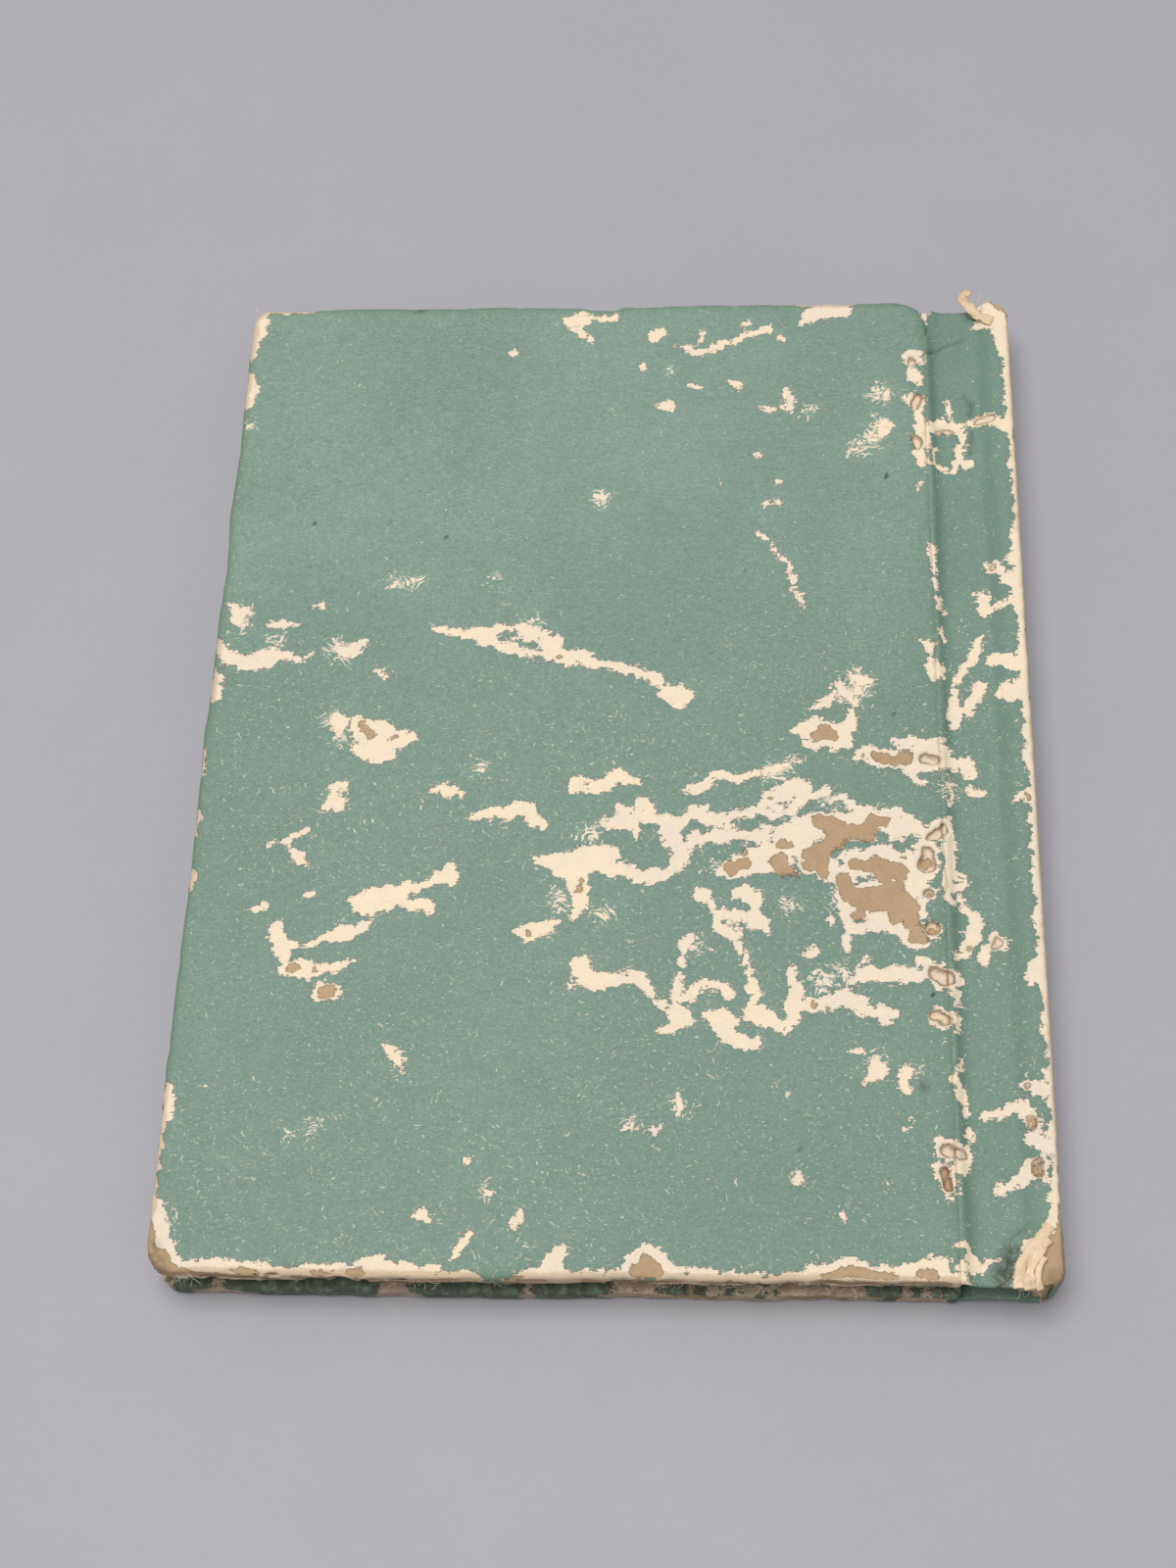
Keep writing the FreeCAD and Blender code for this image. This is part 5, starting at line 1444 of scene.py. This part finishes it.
joinShells(
    "headCurl",
    [
        # a flap of the top ply, rolled over at its tip
        paperRibbon(
            [
                (51.6, 66.4, 9), (50.2, 67, 9.15), (48.8, 67.9, 9.3), (47.9, 69, 9.5),
                (47.5, 69.9, 9.7), (47.9, 70.7, 9.9), (48.6, 70.3, 10)],
            1.25, 0.16, 101),
        paperRibbon([(50, 66.8, 8.95), (49, 68, 9.05), (48.4, 69.4, 9.1)], 1.1, 0.2, 103)],
    tornMaterial, "text_block")
joinShells(
    "tailTear",
    [
        paperRibbon(
            [
                (52.2, -62.8, 9), (51.2, -64.6, 9.15), (49.7, -66.1, 9.3), (48.7, -67.6, 9.2),
                (48.4, -69.2, 9), (48.5, -70.2, 8.6)],
            1.5, 0.3, 105),
        paperRibbon(
            [
                (52, -64.4, 9.05), (50.9, -66, 9.35), (49.9, -67.6, 9.45), (49.5, -69.2, 9.2),
                (49.7, -70.3, 8.7)],
            1.2, 0.3, 107),
        paperRibbon(
            [(51.4, -66.6, 9.05), (50.7, -68, 9.25), (50.5, -69.4, 9), (50.9, -70.3, 8.6)], 0.8,
            0.24, 109)],
    tornMaterial, "text_block")

fibreLook = {"Density": 5.5, "Length": 1.5, "Radius": 0.022, "Bend": 0.35}


def fibreTree():
    tree = bpy.data.node_groups.new("Torn Fibres", "GeometryNodeTree")
    for title, kind in (
            ("Geometry", "NodeSocketGeometry"), ("Density", "NodeSocketFloat"),
            ("Length", "NodeSocketFloat"), ("Radius", "NodeSocketFloat"), ("Bend", "NodeSocketFloat"),
            ("Seed", "NodeSocketInt"), ("Paper", "NodeSocketMaterial")):
        tree.interface.new_socket(title, in_out="INPUT", socket_type=kind)
    tree.interface.new_socket("Geometry", in_out="OUTPUT", socket_type="NodeSocketGeometry")
    take, give = tree.nodes.new("NodeGroupInput").outputs, tree.nodes.new("NodeGroupOutput").inputs
    spots = addNode(
        tree, "GeometryNodeDistributePointsOnFaces",
        {"Mesh": take["Geometry"], "Density": take["Density"], "Seed": take["Seed"]})
    middle = addNode(tree, "ShaderNodeCombineXYZ", {0: take["Bend"], 2: 0.5}).outputs[0]
    hair = addNode(
        tree, "GeometryNodeCurveQuadraticBezier",
        {"Resolution": 5, "Start": (0, 0, 0), "Middle": middle, "End": (0, 0, 1)})
    profile = addNode(tree, "GeometryNodeCurvePrimitiveCircle", {"Resolution": 3, "Radius": 1.0})
    thin = addNode(
        tree, "ShaderNodeMath", {0: take["Radius"], 1: take["Length"]}, operation="DIVIDE").outputs[0]
    thinAll = addNode(tree, "ShaderNodeCombineXYZ", {0: thin, 1: thin, 2: thin}).outputs[0]
    scaledProfile = addNode(
        tree, "GeometryNodeTransform", {"Geometry": profile.outputs[0], "Scale": thinAll}).outputs[0]
    solid = addNode(
        tree, "GeometryNodeCurveToMesh",
        {"Curve": hair.outputs[0], "Profile Curve": scaledProfile, "Fill Caps": True}).outputs[0]
    turn = addNode(
        tree, "FunctionNodeRandomValue", {"Seed": take["Seed"]}, data_type="FLOAT_VECTOR")
    turn.inputs[0].default_value, turn.inputs[1].default_value = (-1.5, -1.5, -3.1), (1.5, 1.5, 3.1)
    grow = addNode(tree, "FunctionNodeRandomValue", {"Seed": take["Seed"]}, data_type="FLOAT")
    grow.inputs[2].default_value, grow.inputs[3].default_value = 0.35, 1.0
    size = addNode(
        tree, "ShaderNodeMath", {0: grow.outputs[1], 1: take["Length"]}, operation="MULTIPLY"
    ).outputs[0]
    placed = addNode(
        tree, "GeometryNodeInstanceOnPoints",
        {"Points": spots.outputs[0], "Instance": solid, "Rotation": turn.outputs[0], "Scale": size}
    ).outputs[0]
    real = addNode(tree, "GeometryNodeRealizeInstances", {"Geometry": placed}).outputs[0]
    tree.links.new(
        addNode(
            tree, "GeometryNodeSetMaterial", {"Geometry": real, "Material": take["Paper"]}).outputs[0],
        give["Geometry"])
    return tree


tornFibres = fibreTree()


def fibreTufts(name, patches, body, seed):
    # patches: corner points of small quads that the fibres grow from
    points = [corner for patch in patches for corner in patch]
    base = bpy.data.meshes.new(name + "Base")
    base.from_pydata(
        (np.array(points) * mm).tolist(), [],
        [tuple(range(4 * k, 4 * k + 4)) for k in range(len(patches))])
    values = {
        "Density": fibreLook["Density"] / mm ** 2, "Length": fibreLook["Length"] * mm,
        "Radius": fibreLook["Radius"] * mm, "Bend": fibreLook["Bend"], "Seed": seed,
        "Paper": creamMaterial}
    piece = treeMesh(name, tornFibres, values, base)
    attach(piece, body)


def quadAt(x, y, z, wide, tall, facing="tail"):
    if facing == "tail":
        return [
            (x - wide, y, z - tall), (x + wide, y, z - tall), (x + wide, y, z + tall),
            (x - wide, y, z + tall)]
    return [
        (x - wide, y - tall, z), (x + wide, y - tall, z), (x + wide, y + tall, z),
        (x - wide, y + tall, z)]


fibreTufts(
    "coverFibres",
    [
        quadAt(-50.6, -70.1, 7.9, 2.2, 0.7), quadAt(-53.2, -68.2, 8.2, 0.6, 1.2, "top"),
        quadAt(-53.4, 69, 8.6, 0.5, 0.8, "top"), quadAt(-20, -70.1, 7.2, 9, 0.12),
        quadAt(18, -70.1, 7.2, 12, 0.12)],
    "back_cover", 4)
fibreTufts(
    "spineFibres",
    [
        quadAt(49.6, -70.3, 7.9, 1.5, 0.6), quadAt(46.8, -69.4, 7.6, 0.8, 0.3),
        quadAt(49.2, -68.5, 9.1, 0.7, 1.3, "top"), quadAt(50.2, 69.6, 9, 1.4, 0.6, "top"),
        quadAt(42.9, 68.4, 7.9, 0.4, 0.4, "top")],
    "text_block", 7)

# pieces that keep their CAD shape
for node, material in (
        ("bound_margin", stackMaterial), ("gauze_lining", gauzeMaterial()),
        ("wire_stitches", steelMaterial())):
    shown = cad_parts[node]
    shown.data.materials.clear()
    shown.data.materials.append(material)

# stage, camera and light
print("stage, camera and light")
stageLook = {
    "floor": linear(171, 169, 174), "floorTint": linear(176, 174, 180), "floorHalf": 2,
    "world": 0.35, "lampPlace": (-0.15, 0.02, 1.2), "lampSize": 0.9, "lampPower": 11.3,
}


def floorMaterial():
    material, tree, shader = newMaterial("paleTable")
    place = millimetres(tree)
    fibre = fillGroup(
        tree, fibreColour,
        {
            "Place": place, "Base": stageLook["floor"], "Tint": stageLook["floorTint"],
            "Mottle": 0.5, "Grain": 0.03})
    tree.links.new(fibre["Color"], shader.inputs["Base Color"])
    shader.inputs["Roughness"].default_value = 0.6
    return material


floorMesh = bpy.data.meshes.new("floor")
half = stageLook["floorHalf"]
floorMesh.from_pydata(
    [(-half, -half, 0), (half, -half, 0), (half, half, 0), (-half, half, 0)], [], [(0, 1, 2, 3)])
floorMesh.materials.append(floorMaterial())
floor = bpy.data.objects.new("floor", floorMesh)
scene.collection.objects.link(floor)
floor.location.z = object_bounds()[0].z - 0.00002

world = bpy.data.worlds.new("studio")
world.use_nodes = True
world.node_tree.nodes["Background"].inputs["Color"].default_value = (0.97, 0.98, 1.0, 1)
world.node_tree.nodes["Background"].inputs["Strength"].default_value = stageLook["world"]
scene.world = world


def areaLamp(name, place, aim, size, power):
    lamp = bpy.data.lights.new(name, "AREA")
    lamp.shape, lamp.size, lamp.energy = "DISK", size, power
    holder = bpy.data.objects.new(name, lamp)
    scene.collection.objects.link(holder)
    holder.location = place
    holder.rotation_euler = (Vector(aim) - Vector(place)).to_track_quat("-Z", "Y").to_euler()


areaLamp(
    "overheadLamp", stageLook["lampPlace"], (0, 0, 0), stageLook["lampSize"], stageLook["lampPower"])

cameraLook = {
    "place": (15.6, -136.2, 281.4), "forward": (-0.0624, 0.4311, -0.9001),
    "up": (-0.0004, 0.9019, 0.4320), "lens": 54.0}
camera = bpy.data.objects.new("camera", bpy.data.cameras.new("camera"))
scene.collection.objects.link(camera)
scene.camera = camera
camera.data.lens = cameraLook["lens"]
camera.data.sensor_width = 36
camera.data.clip_start, camera.data.clip_end = 0.01, 10
forward, upward = Vector(cameraLook["forward"]).normalized(), Vector(cameraLook["up"])
right = forward.cross(upward).normalized()
upward = right.cross(forward)
turned = Matrix((right, upward, -forward)).transposed().to_4x4()
turned.translation = Vector(cameraLook["place"]) * mm
camera.matrix_world = turned
scene.view_settings.view_transform = "Standard"
